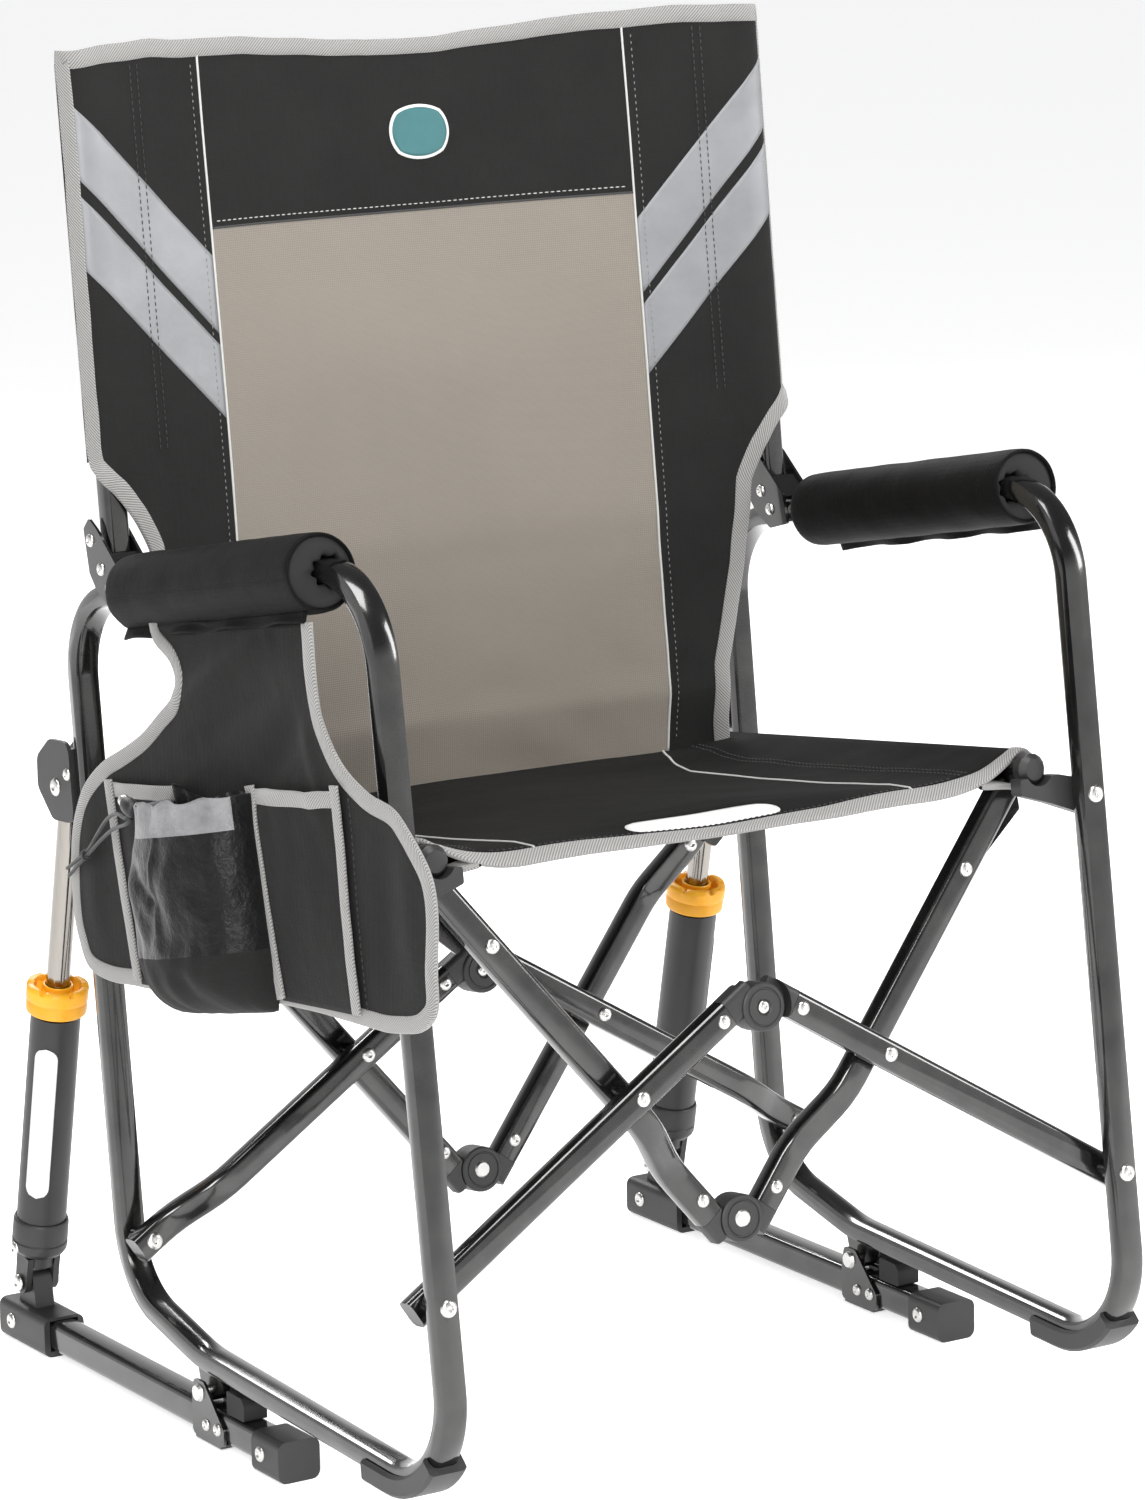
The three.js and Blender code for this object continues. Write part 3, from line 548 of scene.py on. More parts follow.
def binding(name, sheet, path, body, width, thick=1.6, wobble=0.35):
    """Tape folded over a cloth's edge. path runs along the edge with the cloth on its left."""
    front = [(width, 0.35), (width - 0.7, 0.95), (width * 0.5, 1.15), (0.6, 1.1), (-0.7, 0.55)]
    rear = [(-1.0, -thick / 2), (-0.7, -thick - 0.55), (0.6, -thick - 1.1),
            (width * 0.5, -thick - 1.15), (width - 0.7, -thick - 0.95), (width, -thick - 0.35)]
    return ribbon(name, sheet, path, body, front + rear,
                  lambda run: wobble * noise.noise(Vector((run / 30, len(name), 0.3))))


def tape(name, sheet, path, body, width, lift):
    """Flat tape sewn on along a path."""
    shape = [(-0.5, -0.3), (-0.47, 0.75), (-0.4, 1.0), (0.4, 1.0), (0.47, 0.75), (0.5, -0.3)]
    section = [(o * width, lift + h * 1.4) for o, h in shape]
    return ribbon(name, sheet, path, body, section,
                  lambda run: 0.5 * noise.noise(Vector((run / 22, len(name), 1.3))))


def seam(name, sheet, path, body, width, height, mat=None):
    """A thin raised line, such as contrast piping, along a path on the cloth."""
    path = [np.asarray(p, float) for p in path]
    rings = []
    for p, t in zip(path, tangents(path)):
        side = np.array([-t[1], t[0]])
        ring = []
        for angle in circle(8):
            q = p + side * (width / 2 * math.cos(angle))
            ring.append(sheet.lifted(q[0], q[1], 0.15 + height * math.sin(angle)))
        rings.append(ring)
    return lofted(name, rings, mat or THREAD, body)


# A stitch's stations: share of its length, share of its thickness, and rise in radii.
STITCH = ((0, 0.25, -0.2), (0.2, 0.8, 0.1), (0.5, 1.0, 0.3), (0.8, 0.8, 0.1), (1, 0.25, -0.2))
STITCH_PITCH = 4.6


def stitches(name, sheet, paths, body, length=3.0, radius=0.42, mat=None, lift=0.25):
    """Rows of single stitches, each a small rounded dash that dips into the cloth at its ends."""
    verts, faces = [], []
    for path in paths:
        path = [np.asarray(p, float) for p in path]
        lengths = [np.linalg.norm(b - a) for a, b in zip(path, path[1:])]
        marks, path = np.concatenate([[0], np.cumsum(lengths)]), np.array(path)
        start = STITCH_PITCH / 2
        while start + length < marks[-1]:
            spots = []
            for share, _, _ in STITCH:
                s = start + share * length
                spots.append(np.array([np.interp(s, marks, path[:, k]) for k in (0, 1)]))
            direction = unit(spots[-1] - spots[0])
            side = np.array([-direction[1], direction[0]])
            base = len(verts)
            rings = []
            for spot, (_, size, up) in zip(spots, STITCH):
                ring = []
                for cx, cy in ((1, 0), (0, 1), (-1, 0), (0, -1)):
                    q = spot + side * (cx * radius * size)
                    ring.append(sheet.lifted(q[0], q[1], lift + up * radius + cy * radius * size))
                rings.append(ring)
            verts += [q for ring in rings for q in ring]
            ends = [(3, 2, 1, 0), (16, 17, 18, 19)]
            faces += shifted(loft(rings, caps=False)[1] + ends, base)
            start += STITCH_PITCH
    ob = add_mesh(name, verts, faces, mat or THREAD, body)
    fix_normals(ob)
    return ob


def film(name, sheet, corner, body, nu, nv, lift, mat, thick=0.35):
    """A thin patch on the cloth; corner(s, t) gives its place for s and t from 0 to 1."""
    uvs = [tuple(corner(i / nu, j / nv)) for j in range(nv + 1) for i in range(nu + 1)]
    verts = [sheet.lifted(a, b, lift) for a, b in uvs]
    faces = grid_faces(nv + 1, nu + 1)
    ob = add_mesh(name, verts, faces, mat, body, uvs=uvs)
    centre = sheet.normal(*corner(0.5, 0.5))
    if np.dot(np.array(ob.data.polygons[len(faces) // 2].normal), centre) < 0:
        ob.data.flip_normals()
    solidify(ob, thick, -1)
    return ob


def quad(c00, c10, c11, c01):
    """Bilinear patch between four corners."""
    c00, c10, c11, c01 = (np.asarray(c, float) for c in (c00, c10, c11, c01))

    def corner(s, t):
        return c00 * (1 - s) * (1 - t) + c10 * s * (1 - t) + c11 * s * t + c01 * (1 - s) * t
    return corner


def frame_along(points):
    """Tangent, side and up at each point of a 3-D path, without twist."""
    pts = [np.asarray(p, float) for p in points]
    tans = tangents(pts)
    ref = np.array([0.0, 0.0, 1.0]) if abs(tans[0][2]) < 0.9 else np.array([1.0, 0.0, 0.0])
    side = unit(np.cross(tans[0], ref))
    frames = []
    for t in tans:
        side = unit(side - t * np.dot(side, t))
        frames.append((t, side, np.cross(side, t)))
    return pts, frames


def tube(name, points, radius, mat, body, sides):
    rings = []
    for p, (_, s, u) in zip(*frame_along(points)):
        rings.append([p + radius * (math.cos(a) * s + math.sin(a) * u) for a in circle(sides)])
    return lofted(name, rings, mat, body)


def turned(profile, spot, axis, sides):
    """Verts and faces of a solid of revolution; profile is (radius, height along axis)."""
    axis = unit(np.asarray(axis, float))
    ref = np.array([0, 0, 1.0]) if abs(axis[2]) < 0.9 else np.array([1.0, 0, 0])
    s = unit(np.cross(axis, ref))
    u = np.cross(axis, s)
    spot = np.asarray(spot, float)
    rings = []
    for r, h in profile:
        centre, r = spot + axis * h, max(r, 0.02)
        rings.append([centre + r * (math.cos(a) * s + math.sin(a) * u) for a in circle(sides)])
    return loft(rings)


def merged(name, parts, mat, body, smooth_angle):
    verts, faces = [], []
    for v, f in parts:
        base = len(verts)
        verts += list(v)
        faces += shifted(f, base)
    ob = add_mesh(name, verts, faces, mat, body)
    fix_normals(ob)
    ob.data.set_sharp_from_angle(angle=math.radians(smooth_angle))
    return ob


def rivet(spot, axis, r, h):
    """Domed rivet head of radius r and height h, with a dimple, standing on the surface at spot."""
    profile = [(0, -0.6), (r, -0.6), (r, 0.25 * h), (0.86 * r, 0.68 * h), (0.6 * r, 0.95 * h),
               (0.4 * r, h), (0.3 * r, 0.62 * h), (0.0, 0.5 * h)]
    return turned(profile, spot, axis, 18)


# ------------------------------------------------------------------ finishes of the CAD nodes


def smooth_nodes_group(angle):
    """Weld, then smooth across every edge under the angle."""
    group = bpy.data.node_groups.new("smooth_by_angle", "GeometryNodeTree")
    group.interface.new_socket("Geometry", in_out="INPUT", socket_type="NodeSocketGeometry")
    group.interface.new_socket("Geometry", in_out="OUTPUT", socket_type="NodeSocketGeometry")
    n, l = group.nodes, group.links
    source, sink = n.new("NodeGroupInput"), n.new("NodeGroupOutput")
    weld = n.new("GeometryNodeMergeByDistance")
    weld.inputs["Distance"].default_value = 2e-5
    faces, edges = n.new("GeometryNodeSetShadeSmooth"), n.new("GeometryNodeSetShadeSmooth")
    faces.domain, edges.domain = "FACE", "EDGE"
    edges.inputs["Shade Smooth"].default_value = False
    bend = n.new("GeometryNodeInputMeshEdgeAngle")
    compare = n.new("FunctionNodeCompare")
    compare.data_type, compare.operation = "FLOAT", "GREATER_THAN"
    compare.inputs[1].default_value = angle
    l.new(source.outputs[0], weld.inputs["Geometry"])
    l.new(weld.outputs["Geometry"], faces.inputs["Geometry"])
    l.new(faces.outputs["Geometry"], edges.inputs["Geometry"])
    l.new(bend.outputs["Unsigned Angle"], compare.inputs[0])
    l.new(compare.outputs["Result"], edges.inputs["Selection"])
    l.new(edges.outputs["Geometry"], sink.inputs[0])
    return group


FINISHES = (  # what a node's name holds, and its material; the rest is paint
    (("arm_pad",), FOAM),
    (("piston_rod",), STEEL),
    (("rocker_pin", "hub_bolt"), RIVET),
    (("piston_collar",), AMBER),
    (("piston_barrel",), BARREL),
    (("rail_bumper",), RUBBER),
    (("sling", "organizer_panel"), RIPSTOP),
    (("bottle_pocket",), NYLON),
    (("foot", "saddle", "knuckle", "cap", "piston_bracket", "yoke"), PLASTIC),
)


def finish_nodes():
    group = smooth_nodes_group(math.radians(32))
    for name, ob in nodes.items():
        mat = next((m for keys, m in FINISHES if any(key in name for key in keys)), PAINT)
        ob.data.materials.clear()
        ob.data.materials.append(mat)
        ob.modifiers.new("smooth", "NODES").node_group = group


# ------------------------------------------------------------------ back

POST_FOOT = (120.5, 583.2)
LEAN = math.tan(math.radians(6.1))
BACK_LOW, BACK_TOP = 404.0, 940.0
SEAM_X = 173.0
HEADER_Z = 814.5
back_heights = [404, 431, 471, 543, 604, 625, 643, 653, 662, 672, 800, 940]
back_widths = [226, 220.6, 221, 238, 247, 257, 270, 281, 288.5, 290.5, 290.5, 290.5]
crest_x = [0, 31, 91, 132, 169, 215, 257, 287]
crest_z = [-7.4, -6.6, -1.4, 2.0, 3.7, 5.5, 4.4, 2.6]  # the top edge rises to the posts and dips between them
WRAP = 262.0  # past this the cloth turns over the post to a seam beside it
wrap_run = [0, 8, 13, 17, 20, 23.5, 27, 30, 33]
wrap_x = [262, 270, 274.9, 278.4, 280.3, 281.6, 283.2, 285.6, 288.4]
wrap_y = [0, -0.3, 0.3, 2.2, 4.5, 7.8, 10.9, 12.8, 14.0]


def back_half(z):
    """Half width of the back at a height, along the cloth."""
    return float(np.interp(z, back_heights, back_widths))


def back_point(x, z):
    """Front surface of the back; x across along the cloth, z up."""
    across = abs(x)
    share = min(across / WRAP, 1.0)
    sag = float(np.interp(z, [404, 470, 565, 700, 818, 940], [8, 19, 28, 28, 31, 34]))
    y = POST_FOOT[0] + (z - POST_FOOT[1]) * LEAN - 10.9
    if z < 583:
        y += (583 - z) * 0.055 + max(0.0, 455 - z) * 0.25
    bow = 1 - share ** 2
    y += sag * bow
    real_x = across
    if across > WRAP:
        blend = min(max((z - 650) / 20, 0.0), 1.0)
        run = across - WRAP
        y += blend * float(np.interp(run, wrap_run, wrap_y))
        real_x = across * (1 - blend) + blend * float(np.interp(run, wrap_run, wrap_x))
    # soft folds: long ones down the sleeves, and drag lines near the lower corners
    side = max(0.0, min((across - 165) / 60, (276 - across) / 20, 1.0))
    strength = 0.35 + 0.65 * noise.noise(Vector((x / 60, z / 130, 2.0)))
    y += 1.5 * side * math.sin(x / 9.0 + 1.7 * math.sin(z / 85.0)) * strength
    y += 2.2 * noise.noise(Vector((x / 120, z / 95, 7.0))) * bow
    low = max(0.0, (560 - z) / 150)
    y += 2.2 * low * math.sin((across + z) / 17.0) * noise.noise(Vector((x / 50, z / 50, 4.0)))
    crest = float(np.interp(across, crest_x, crest_z)) + 0.8 * noise.noise(Vector((x / 33, 4.0, 1.0)))
    crest *= min(max(0.0, (z - 760) / 180), 1.0) ** 2
    return np.array([math.copysign(real_x, x) if x else 0.0, y, z + crest])


back_sheet = Sheet(back_point)


def make_back():
    rows = [BACK_LOW + (BACK_TOP - BACK_LOW) * j / 108 for j in range(109)]
    rows = sorted(set(rows) | {HEADER_Z, 661.0})
    inner = np.linspace(-SEAM_X, SEAM_X, 57)
    spread = np.concatenate([np.linspace(0, 0.72, 15), np.linspace(0.72, 1, 10)[1:]])[1:]
    count = len(inner) + 2 * len(spread)
    uvs = []
    for z in rows:
        right = SEAM_X + (back_half(z) - SEAM_X) * spread
        uvs += [(x, z) for x in [*-right[::-1], *inner, *right]]
    verts = [back_point(x, z) for x, z in uvs]
    kinds = []
    for z in rows[:-1]:
        for i in range(count - 1):
            netting = len(spread) <= i < count - 1 - len(spread) and z < HEADER_Z - 0.1
            kinds.append(1 if netting else 0)
    ob = add_mesh("back_cloth", verts, grid_faces(len(rows), count), RIPSTOP, None, uvs=uvs,
                  mats=[RIPSTOP, NETTING], face_mats=kinds)
    return solidify(ob, 1.6, -1)


def back_outline():
    """Edge of the back, counter-clockwise seen from the front, cloth on the left."""
    up_right = [(back_half(z), z) for z in np.linspace(BACK_LOW, BACK_TOP, 90)]
    top = [(x, BACK_TOP) for x in np.linspace(290.5, -290.5, 90)][1:-1]
    down_left = [(-back_half(z), z) for z in np.linspace(BACK_TOP, BACK_LOW, 90)]
    return up_right + top + down_left


SLEEVE_LOW, SLEEVE_HIGH = 665, 934
sleeve_wrap = [(284.6, 2.4), (281.2, 3.4), (279.9, 5.6), (278.6, 7.8), (275.5, 9.6), (262, 10.4),
               (252, 9.6), (240, 6.0), (228, 2.6), (219, 0.6)]


def make_back_sleeve(side):
    """Rear half of one post's sleeve, from the seam beside the post to a hem behind the cloth."""
    rows = np.linspace(SLEEVE_LOW, SLEEVE_HIGH, 46)
    verts, uvs = [], []
    for z in rows:
        run = 0
        centre = POST_FOOT[0] + (z - POST_FOOT[1]) * LEAN
        for k, (x, dy) in enumerate(sleeve_wrap):
            if k:
                run += math.dist(sleeve_wrap[k], sleeve_wrap[k - 1])
            fold = 1.0 * noise.noise(Vector((x / 20, z / 60, side))) if 1 < k < 7 else 0
            inner = min(max(0.0, (262 - x) / 36), 1.0)
            deep = back_point(x, z)[1] - centre + 2.6
            climb = ((z - SLEEVE_LOW) / (SLEEVE_HIGH - SLEEVE_LOW)) ** 6
            drop = 6.0 * climb * min(1.0, max(0.0, (276 - x) / 10))
            verts.append((side * x, centre + dy * (1 - inner) + deep * inner + fold, z - drop))
            uvs.append((run, z))
    faces = grid_faces(len(rows), len(sleeve_wrap))
    if side < 0:
        faces = [face[::-1] for face in faces]
    ob = add_mesh(f"back_sleeve_{side_word(side)}", verts, faces, RIPSTOP, None, uvs=uvs)
    return solidify(ob, 1.2, 0)


# Each stripe: its lower edge and its width, at the seam and then at the back's edge.
STRIPES = (((685, 797), (50, 50)), ((743, 858), (53, 48)))


def back_dress():
    """Everything sewn to the back."""
    made = [binding("back_binding", back_sheet, resample(back_outline(), 5), None, 11.0, wobble=0.8)]
    zs = np.linspace(410, 930, 110)
    for side in SIDES:
        word = side_word(side)
        line = [(side * SEAM_X, z) for z in zs]
        made.append(seam(f"back_piping_{word}", back_sheet, line, None, 1.7, 0.8))
        dark = [[(side * x, z) for z in np.linspace(668, 928, 60)] for x in (226, 232)]
        made.append(stitches(f"back_stitching_{word}", back_sheet, dark, None,
                             mat=DARK_THREAD, radius=0.4, lift=0.6))
        pale = [[(side * (SEAM_X + 6.5), z) for z in np.linspace(418, 928, 110)]]
        made.append(stitches(f"back_pale_stitching_{word}", back_sheet, pale, None,
                             mat=PALE, radius=0.38, length=2.2, lift=0.5))
        inner, edge = side * (SEAM_X + 1), side * 281.5
        for k, ((low_in, low_out), (wide_in, wide_out)) in enumerate(STRIPES):
            corners = quad((inner, low_in), (edge, low_out),
                           (edge, low_out + wide_out), (inner, low_in + wide_in))
            name = f"reflective_stripe_{word}_{k + 1}"
            made.append(film(name, back_sheet, corners, None, 34, 12, 0.35, STRIPE))
    line = [(x, HEADER_Z) for x in np.linspace(-SEAM_X, SEAM_X, 90)]
    made.append(seam("header_edge", back_sheet, line, None, 1.6, 0.5, DARK_THREAD))
    header = [(x, HEADER_Z + 4.5) for x in np.linspace(-SEAM_X + 3, SEAM_X - 3, 90)]
    made.append(stitches("header_stitching", back_sheet, [header], None))
    return made


BADGE_AT = (7, 871)
BADGE_HALF = (22, 18)


def back_patch():
    """Blank rounded badge in the middle of the header, with a pale rim."""
    def corner(s, t):
        u, v = 2 * s - 1, 2 * t - 1
        k = 0.86  # 0 is a rectangle and 1 an ellipse
        x = u * math.sqrt(max(0, 1 - k * v * v / 2))
        z = v * math.sqrt(max(0, 1 - k * u * u / 2))
        return (BADGE_AT[0] + BADGE_HALF[0] * x, BADGE_AT[1] + BADGE_HALF[1] * z)

    def rim_corner(s, t):
        x, z = corner(s, t)
        return (BADGE_AT[0] + (x - BADGE_AT[0]) * 1.1, BADGE_AT[1] + (z - BADGE_AT[1]) * 1.12)

    return [film("header_badge_rim", back_sheet, rim_corner, None, 14, 14, 0.9, PRINT, 0.8),
            film("header_badge", back_sheet, corner, None, 14, 14, 1.5, PATCH, 0.8)]


# ------------------------------------------------------------------ seat

RAIL_X, RAIL_H = 237.4, 414.0
SEAT_FRONT, SEAT_REAR = -286.0, 82.0
SLEEVE_R = 13.6  # radius of the cloth round a rail
SEAT_TOP = RAIL_H + SLEEVE_R
SLEEVE_ARC = SLEEVE_R * (math.pi + 0.29)
JOIN_X = 198.0  # where the sleeve's lower side is sewn up to the seat
JOIN_RUN = 37.0
SEAT_HALF = RAIL_X + SLEEVE_ARC + JOIN_RUN


# How far the seat hangs below the tops of its rails, front to rear: down its middle and at the
# piping. The front hem hangs loose, and the rear is held up by the back.
MIDDLE_AT = [-286, -272, -258, -245, -225, -90, 0, 40, 82]
MIDDLE_SAG = [25.5, 21, 16.5, 12.5, 10, 10.5, 8.5, 6, 3]
PIPING_AT = [-286, -274, -250, -170, -90, 0, 25, 40, 82]
PIPING_SAG = [25, 16.5, 15, 17, 17.5, 15.5, 12.5, 8.5, 3]
PIPING_X = 150.0


def seat_height(x, t):
    """Height of the seat's top between the rails."""
    across = min(abs(x), RAIL_X)
    middle = float(np.interp(t, MIDDLE_AT, MIDDLE_SAG))
    side = float(np.interp(t, PIPING_AT, PIPING_SAG))
    if across < PIPING_X:
        u = across / PIPING_X
        sag = middle + (side - middle) * u * u * (3 - 2 * u)
    else:
        sag = side * (1 - ((across - PIPING_X) / (RAIL_X - PIPING_X)) ** 2.5)
    free = 1 - (across / RAIL_X) ** 4
    h = SEAT_TOP - sag + 1.5 * noise.noise(Vector((x / 70, t / 80, 1.0))) * free
    share = across / RAIL_X
    strength = 0.4 + noise.noise(Vector((x / 30, t / 60, 3.0)))
    pucker = 1.1 * share ** 3 * math.sin(t / 13.0 + 2 * math.sin(x / 40)) * strength
    return h + pucker * min(1, 8 * (1 - share))


def seat_point(x, t):
    """Outer face of the seat; x across along the cloth, t to the rear along the rails. Past a rail
    the cloth goes round it and back under to the seam that makes the sleeve."""
    across, side = abs(x), math.copysign(1, x)
    if across <= RAIL_X:
        return mech(x, t, seat_height(x, t))
    run = across - RAIL_X
    if run <= SLEEVE_ARC:
        angle = run / SLEEVE_R
        return mech(side * (RAIL_X + SLEEVE_R * math.sin(angle)), t, RAIL_H + SLEEVE_R * math.cos(angle))
    end = SLEEVE_ARC / SLEEVE_R
    x1, h1 = RAIL_X + SLEEVE_R * math.sin(end), RAIL_H + SLEEVE_R * math.cos(end)
    share = (run - SLEEVE_ARC) / JOIN_RUN
    h2 = seat_height(JOIN_X, t) - 3.6
    return mech(side * (x1 + (JOIN_X - x1) * share), t, h1 + (h2 - h1) * share)


def seat_edge(x):
    """The front edge curves back a little between the rails, and the sleeves' mouths slant back."""
    across = abs(x)
    edge = SEAT_FRONT + 2.0 * (1 - min(across / RAIL_X, 1) ** 2)
    if across > JOIN_X:
        edge += 7.0 * math.sin(math.pi * min(1.0, (across - JOIN_X) / (SEAT_HALF - JOIN_X))) ** 2
    return edge


seat_sheet = Sheet(seat_point)


def make_seat():
    wrap_end = RAIL_X + SLEEVE_ARC
    sleeve = [*np.linspace(RAIL_X, wrap_end, 19)[1:], *np.linspace(wrap_end, SEAT_HALF, 9)[1:]]
    columns = [-c for c in reversed(sleeve)] + list(np.linspace(-RAIL_X, RAIL_X, 79)) + sleeve
    rows = 56
    uvs = []
    for j in range(rows + 1):
        for x in columns:
            front = seat_edge(x)
            uvs.append((x, front + (SEAT_REAR - front) * j / rows))
    verts = [seat_point(x, t) for x, t in uvs]
    faces = grid_faces(rows + 1, len(columns))
    return solidify(add_mesh("seat_cloth", verts, faces, SEATING, None, uvs=uvs), 1.8, -1)


def seat_dress():
    """Everything sewn to the seat or printed on it."""
    front = [(x, seat_edge(x)) for x in np.linspace(-SEAT_HALF + 2, SEAT_HALF - 2, 200)]
    made = [binding("seat_front_binding", seat_sheet, front, None, 10, thick=1.8)]
    for side in SIDES:
        word = side_word(side)
        ts = np.linspace(SEAT_FRONT + 12, SEAT_REAR - 4, 60)
        rows = [[(side * d, t) for t in ts] for d in (193, 199)]
        made.append(stitches(f"seat_stitching_{word}", seat_sheet, rows, None,
                             mat=DARK_THREAD, radius=0.5))
        ts = np.linspace(SEAT_FRONT + 9, SEAT_REAR - 2, 80)
        spread = np.interp(ts, [0, 32, 56, SEAT_REAR], [PIPING_X, 156, 165, 177])
        line = [(side * float(x), t) for x, t in zip(spread, ts)]
        made.append(seam(f"seat_piping_{word}", seat_sheet, line, None, 1.7, 0.8))
    row = [(x, seat_edge(x) + 13) for x in np.linspace(-185, 185, 90)]
    made.append(stitches("seat_front_stitching", seat_sheet, [row], None, mat=DARK_THREAD))

    def pill(s, t):
        u, v = 2 * s - 1, 2 * t - 1
        reach = 54 + 11 * math.sqrt(max(0.0, 1 - v * v))
        return (-10 + u * (reach - 5), -261 + 10 * v)

    made.append(film("seat_print", seat_sheet, pill, None, 30, 8, 0.4, PRINT, 0.3))
    return made


# ------------------------------------------------------------------ organizer

PANEL_X = -305.4
panel_bottom = [(-348, 376), (-302, 359), (-162, 349), (39, 320), (105, 318)]
panel_top = [(-208, 607), (8, 576)]
panel_front = [(-348, 376), (-353, 410), (-352, 453), (-338, 478), (-309, 499),
               (-270, 507), (-241, 520), (-221, 540), (-212, 560), (-208, 607)]
panel_rear = [(105, 318), (125, 338), (131, 362), (131, 400), (122, 430), (104, 452), (80, 469),
              (36, 490), (-2, 515), (-22, 530), (-27, 541), (-20, 553), (2, 564), (8, 576)]


def curve_at(points):
    """Point at a share of a smooth path's length."""
    pts = np.array(smooth_path(points, 4.0)) if len(points) > 2 else np.array(points, float)
    marks = np.concatenate([[0], np.cumsum(np.linalg.norm(np.diff(pts, axis=0), axis=1))])

    def at(share):
        return np.array([np.interp(share * marks[-1], marks, pts[:, k]) for k in (0, 1)])
    return at


edge_bottom, edge_top = curve_at(panel_bottom), curve_at(panel_top)
edge_front, edge_rear = curve_at(panel_front), curve_at(panel_rear)


def ridge(p, a, b, width):
    """1 on the line from a to b, falling off over width."""
    p, a, b = (np.asarray(v, float) for v in (p, a, b))
    along = min(max(np.dot(p - a, b - a) / np.dot(b - a, b - a), 0.0), 1.0)
    gap = np.linalg.norm(p - a - along * (b - a))
    return math.exp(-(gap / width) ** 2) * math.sin(math.pi * min(max(along, 0.04), 0.96)) ** 0.5


def panel_point(y, z):
    """Outer face of the organizer's cloth."""
    p = (y, z)
    x = PANEL_X
    x -= 5.0 * ridge(p, (-150, 590), (-30, 528), 9) - 3.4 * ridge(p, (-165, 560), (-50, 506), 12)
    x += 3.0 * ridge(p, (-120, 470), (-205, 560), 14) - 2.6 * ridge(p, (-230, 470), (-188, 545), 9)
    x -= 2.4 * ridge(p, (-318, 485), (-330, 385), 13) - 2.0 * ridge(p, (-292, 480), (-296, 385), 12)
    x -= 2.2 * ridge(p, (104, 440), (96, 340), 12)
    x += 2.2 * noise.noise(Vector((y / 75, z / 85, 5.0)))
    top = 604 - (y + 208) * 31 / 216
    lean = 12.5 * min(1.0, max(0.0, 1 - (top - z) / 62)) ** 1.6  # its top is sewn under the pad
    return np.array([x + lean, y + 1.9 * lean, z - 0.46 * lean])


panel = Sheet(panel_point, -1.0)


def make_panel():
    """The cloth between its four edges, as a Coons patch."""
    nu, nv = 78, 72
    corners = quad(edge_bottom(0), edge_bottom(1), edge_top(1), edge_top(0))
    uvs = []
    for j in range(nv + 1):
        t = j / nv
        for i in range(nu + 1):
            s = i / nu
            across = (1 - t) * edge_bottom(s) + t * edge_top(s)
            along = (1 - s) * edge_front(t) + s * edge_rear(t)
            uvs.append(across + along - corners(s, t))
    verts = [panel_point(*q) for q in uvs]
    faces = grid_faces(nv + 1, nu + 1, flip=True)
    return solidify(add_mesh("organizer_cloth", verts, faces, RIPSTOP, "frame_left", uvs=uvs), 1.5, -1)


def sewn_pocket(name, corners, bulge):
    """Flat patch pocket, open at the top, with its own surface."""
    c00, c10, c11, c01 = (np.asarray(c, float) for c in corners)
    wide, deep = np.linalg.norm(c11 - c01), np.linalg.norm(c01 - c00)
    spot = quad(c00, c10, c11, c01)

    def at(a, b):
        s, t = a / wide, b / deep
        full = max(0.0, 4 * s * (1 - s)) * (0.25 + 0.75 * t) * min(1.0, 3 * max(t, 0.0) + 0.05)
        y, z = spot(s, t)
        puff = bulge * full + 1.5 * full * noise.noise(Vector((a / 28, b / 60, bulge)))
        return panel.lifted(y, z, 1.7 + puff)

    surface = Sheet(at, -1.0)
    made = [film(name, surface, lambda s, t: (s * wide, t * deep), "frame_left",
                 34, 34, 0.0, RIPSTOP, 1.1)]
    hem = [(a, deep) for a in np.linspace(wide, 0, 34)]
    made.append(binding(name + "_hem", surface, hem, "frame_left", 9.5, thick=1.1))
    return made


POCKET_TOP = np.array([-129.0, 483.0])
POCKET_ACROSS, POCKET_DOWN = np.array([0.979, -0.203]), np.array([-0.235, -0.972])
POCKET_DEEP, POCKET_RUN = 142.0, 180.0


def pocket_point(a, b):
    """Outer face of the bottle pocket: a along the cloth from the front, b down from the mouth,
    where it is 0, as negative values."""
    share, v = a / POCKET_RUN, -b
    grow = min(max(v / 55, 0.0), 1.0)
    grow = grow * grow * (3 - 2 * grow)
    wide = 112 + 22 * grow
    out = 45 + 4 * grow
    low = max(0.0, (v - 104) / (POCKET_DEEP - 104))
    curl = math.sqrt(max(0.0, 1 - 0.985 * low ** 2.3))
    out *= curl
    shift = 0.06 * wide * low ** 2
    wide *= 1 - 0.12 * low ** 2
    theta = math.pi * min(max(share, 0.0), 1.0)
    u = shift + wide / 2 * (1 - math.cos(theta))
    lift = out * max(math.sin(theta), 0.0) ** 0.72
    body = math.sin(theta) * min(1.0, max(v - 18, 0) / 20)
    broad = noise.noise(Vector((a / 26, v / 34, 8.0)))
    fine = noise.noise(Vector((a / 13, v / 20, 3.0)))
    lift += 3.2 * body * broad + 2.2 * body * fine
    lift -= (5.0 * ridge((a, v), (112, 48), (88, 66), 5) * body
             + 3.0 * ridge((a, v), (132, 38), (104, 44), 6) * body)
    lift += 1.7 * math.exp(-((a - 84 - 0.06 * v) / 2.2) ** 2) * (1 if 20 < v < 84 else 0)
    hem = max(0.0, 1 - v / 21)
    gather = math.sin(a / 4.1 + 2.2 * noise.noise(Vector((a / 19, 1, 2))))
    gather += 0.5 * math.sin(a / 2.3 + 1.0)
    lift += 2.1 * hem * gather * math.sin(theta)
    down = v - 2.0 * hem * math.cos(a / 5.7) * math.sin(theta)
    y, z = POCKET_TOP + POCKET_ACROSS * u + POCKET_DOWN * down
    return np.array([PANEL_X - 1.6 - lift, y, z])


pocket = Sheet(pocket_point, -1.0)


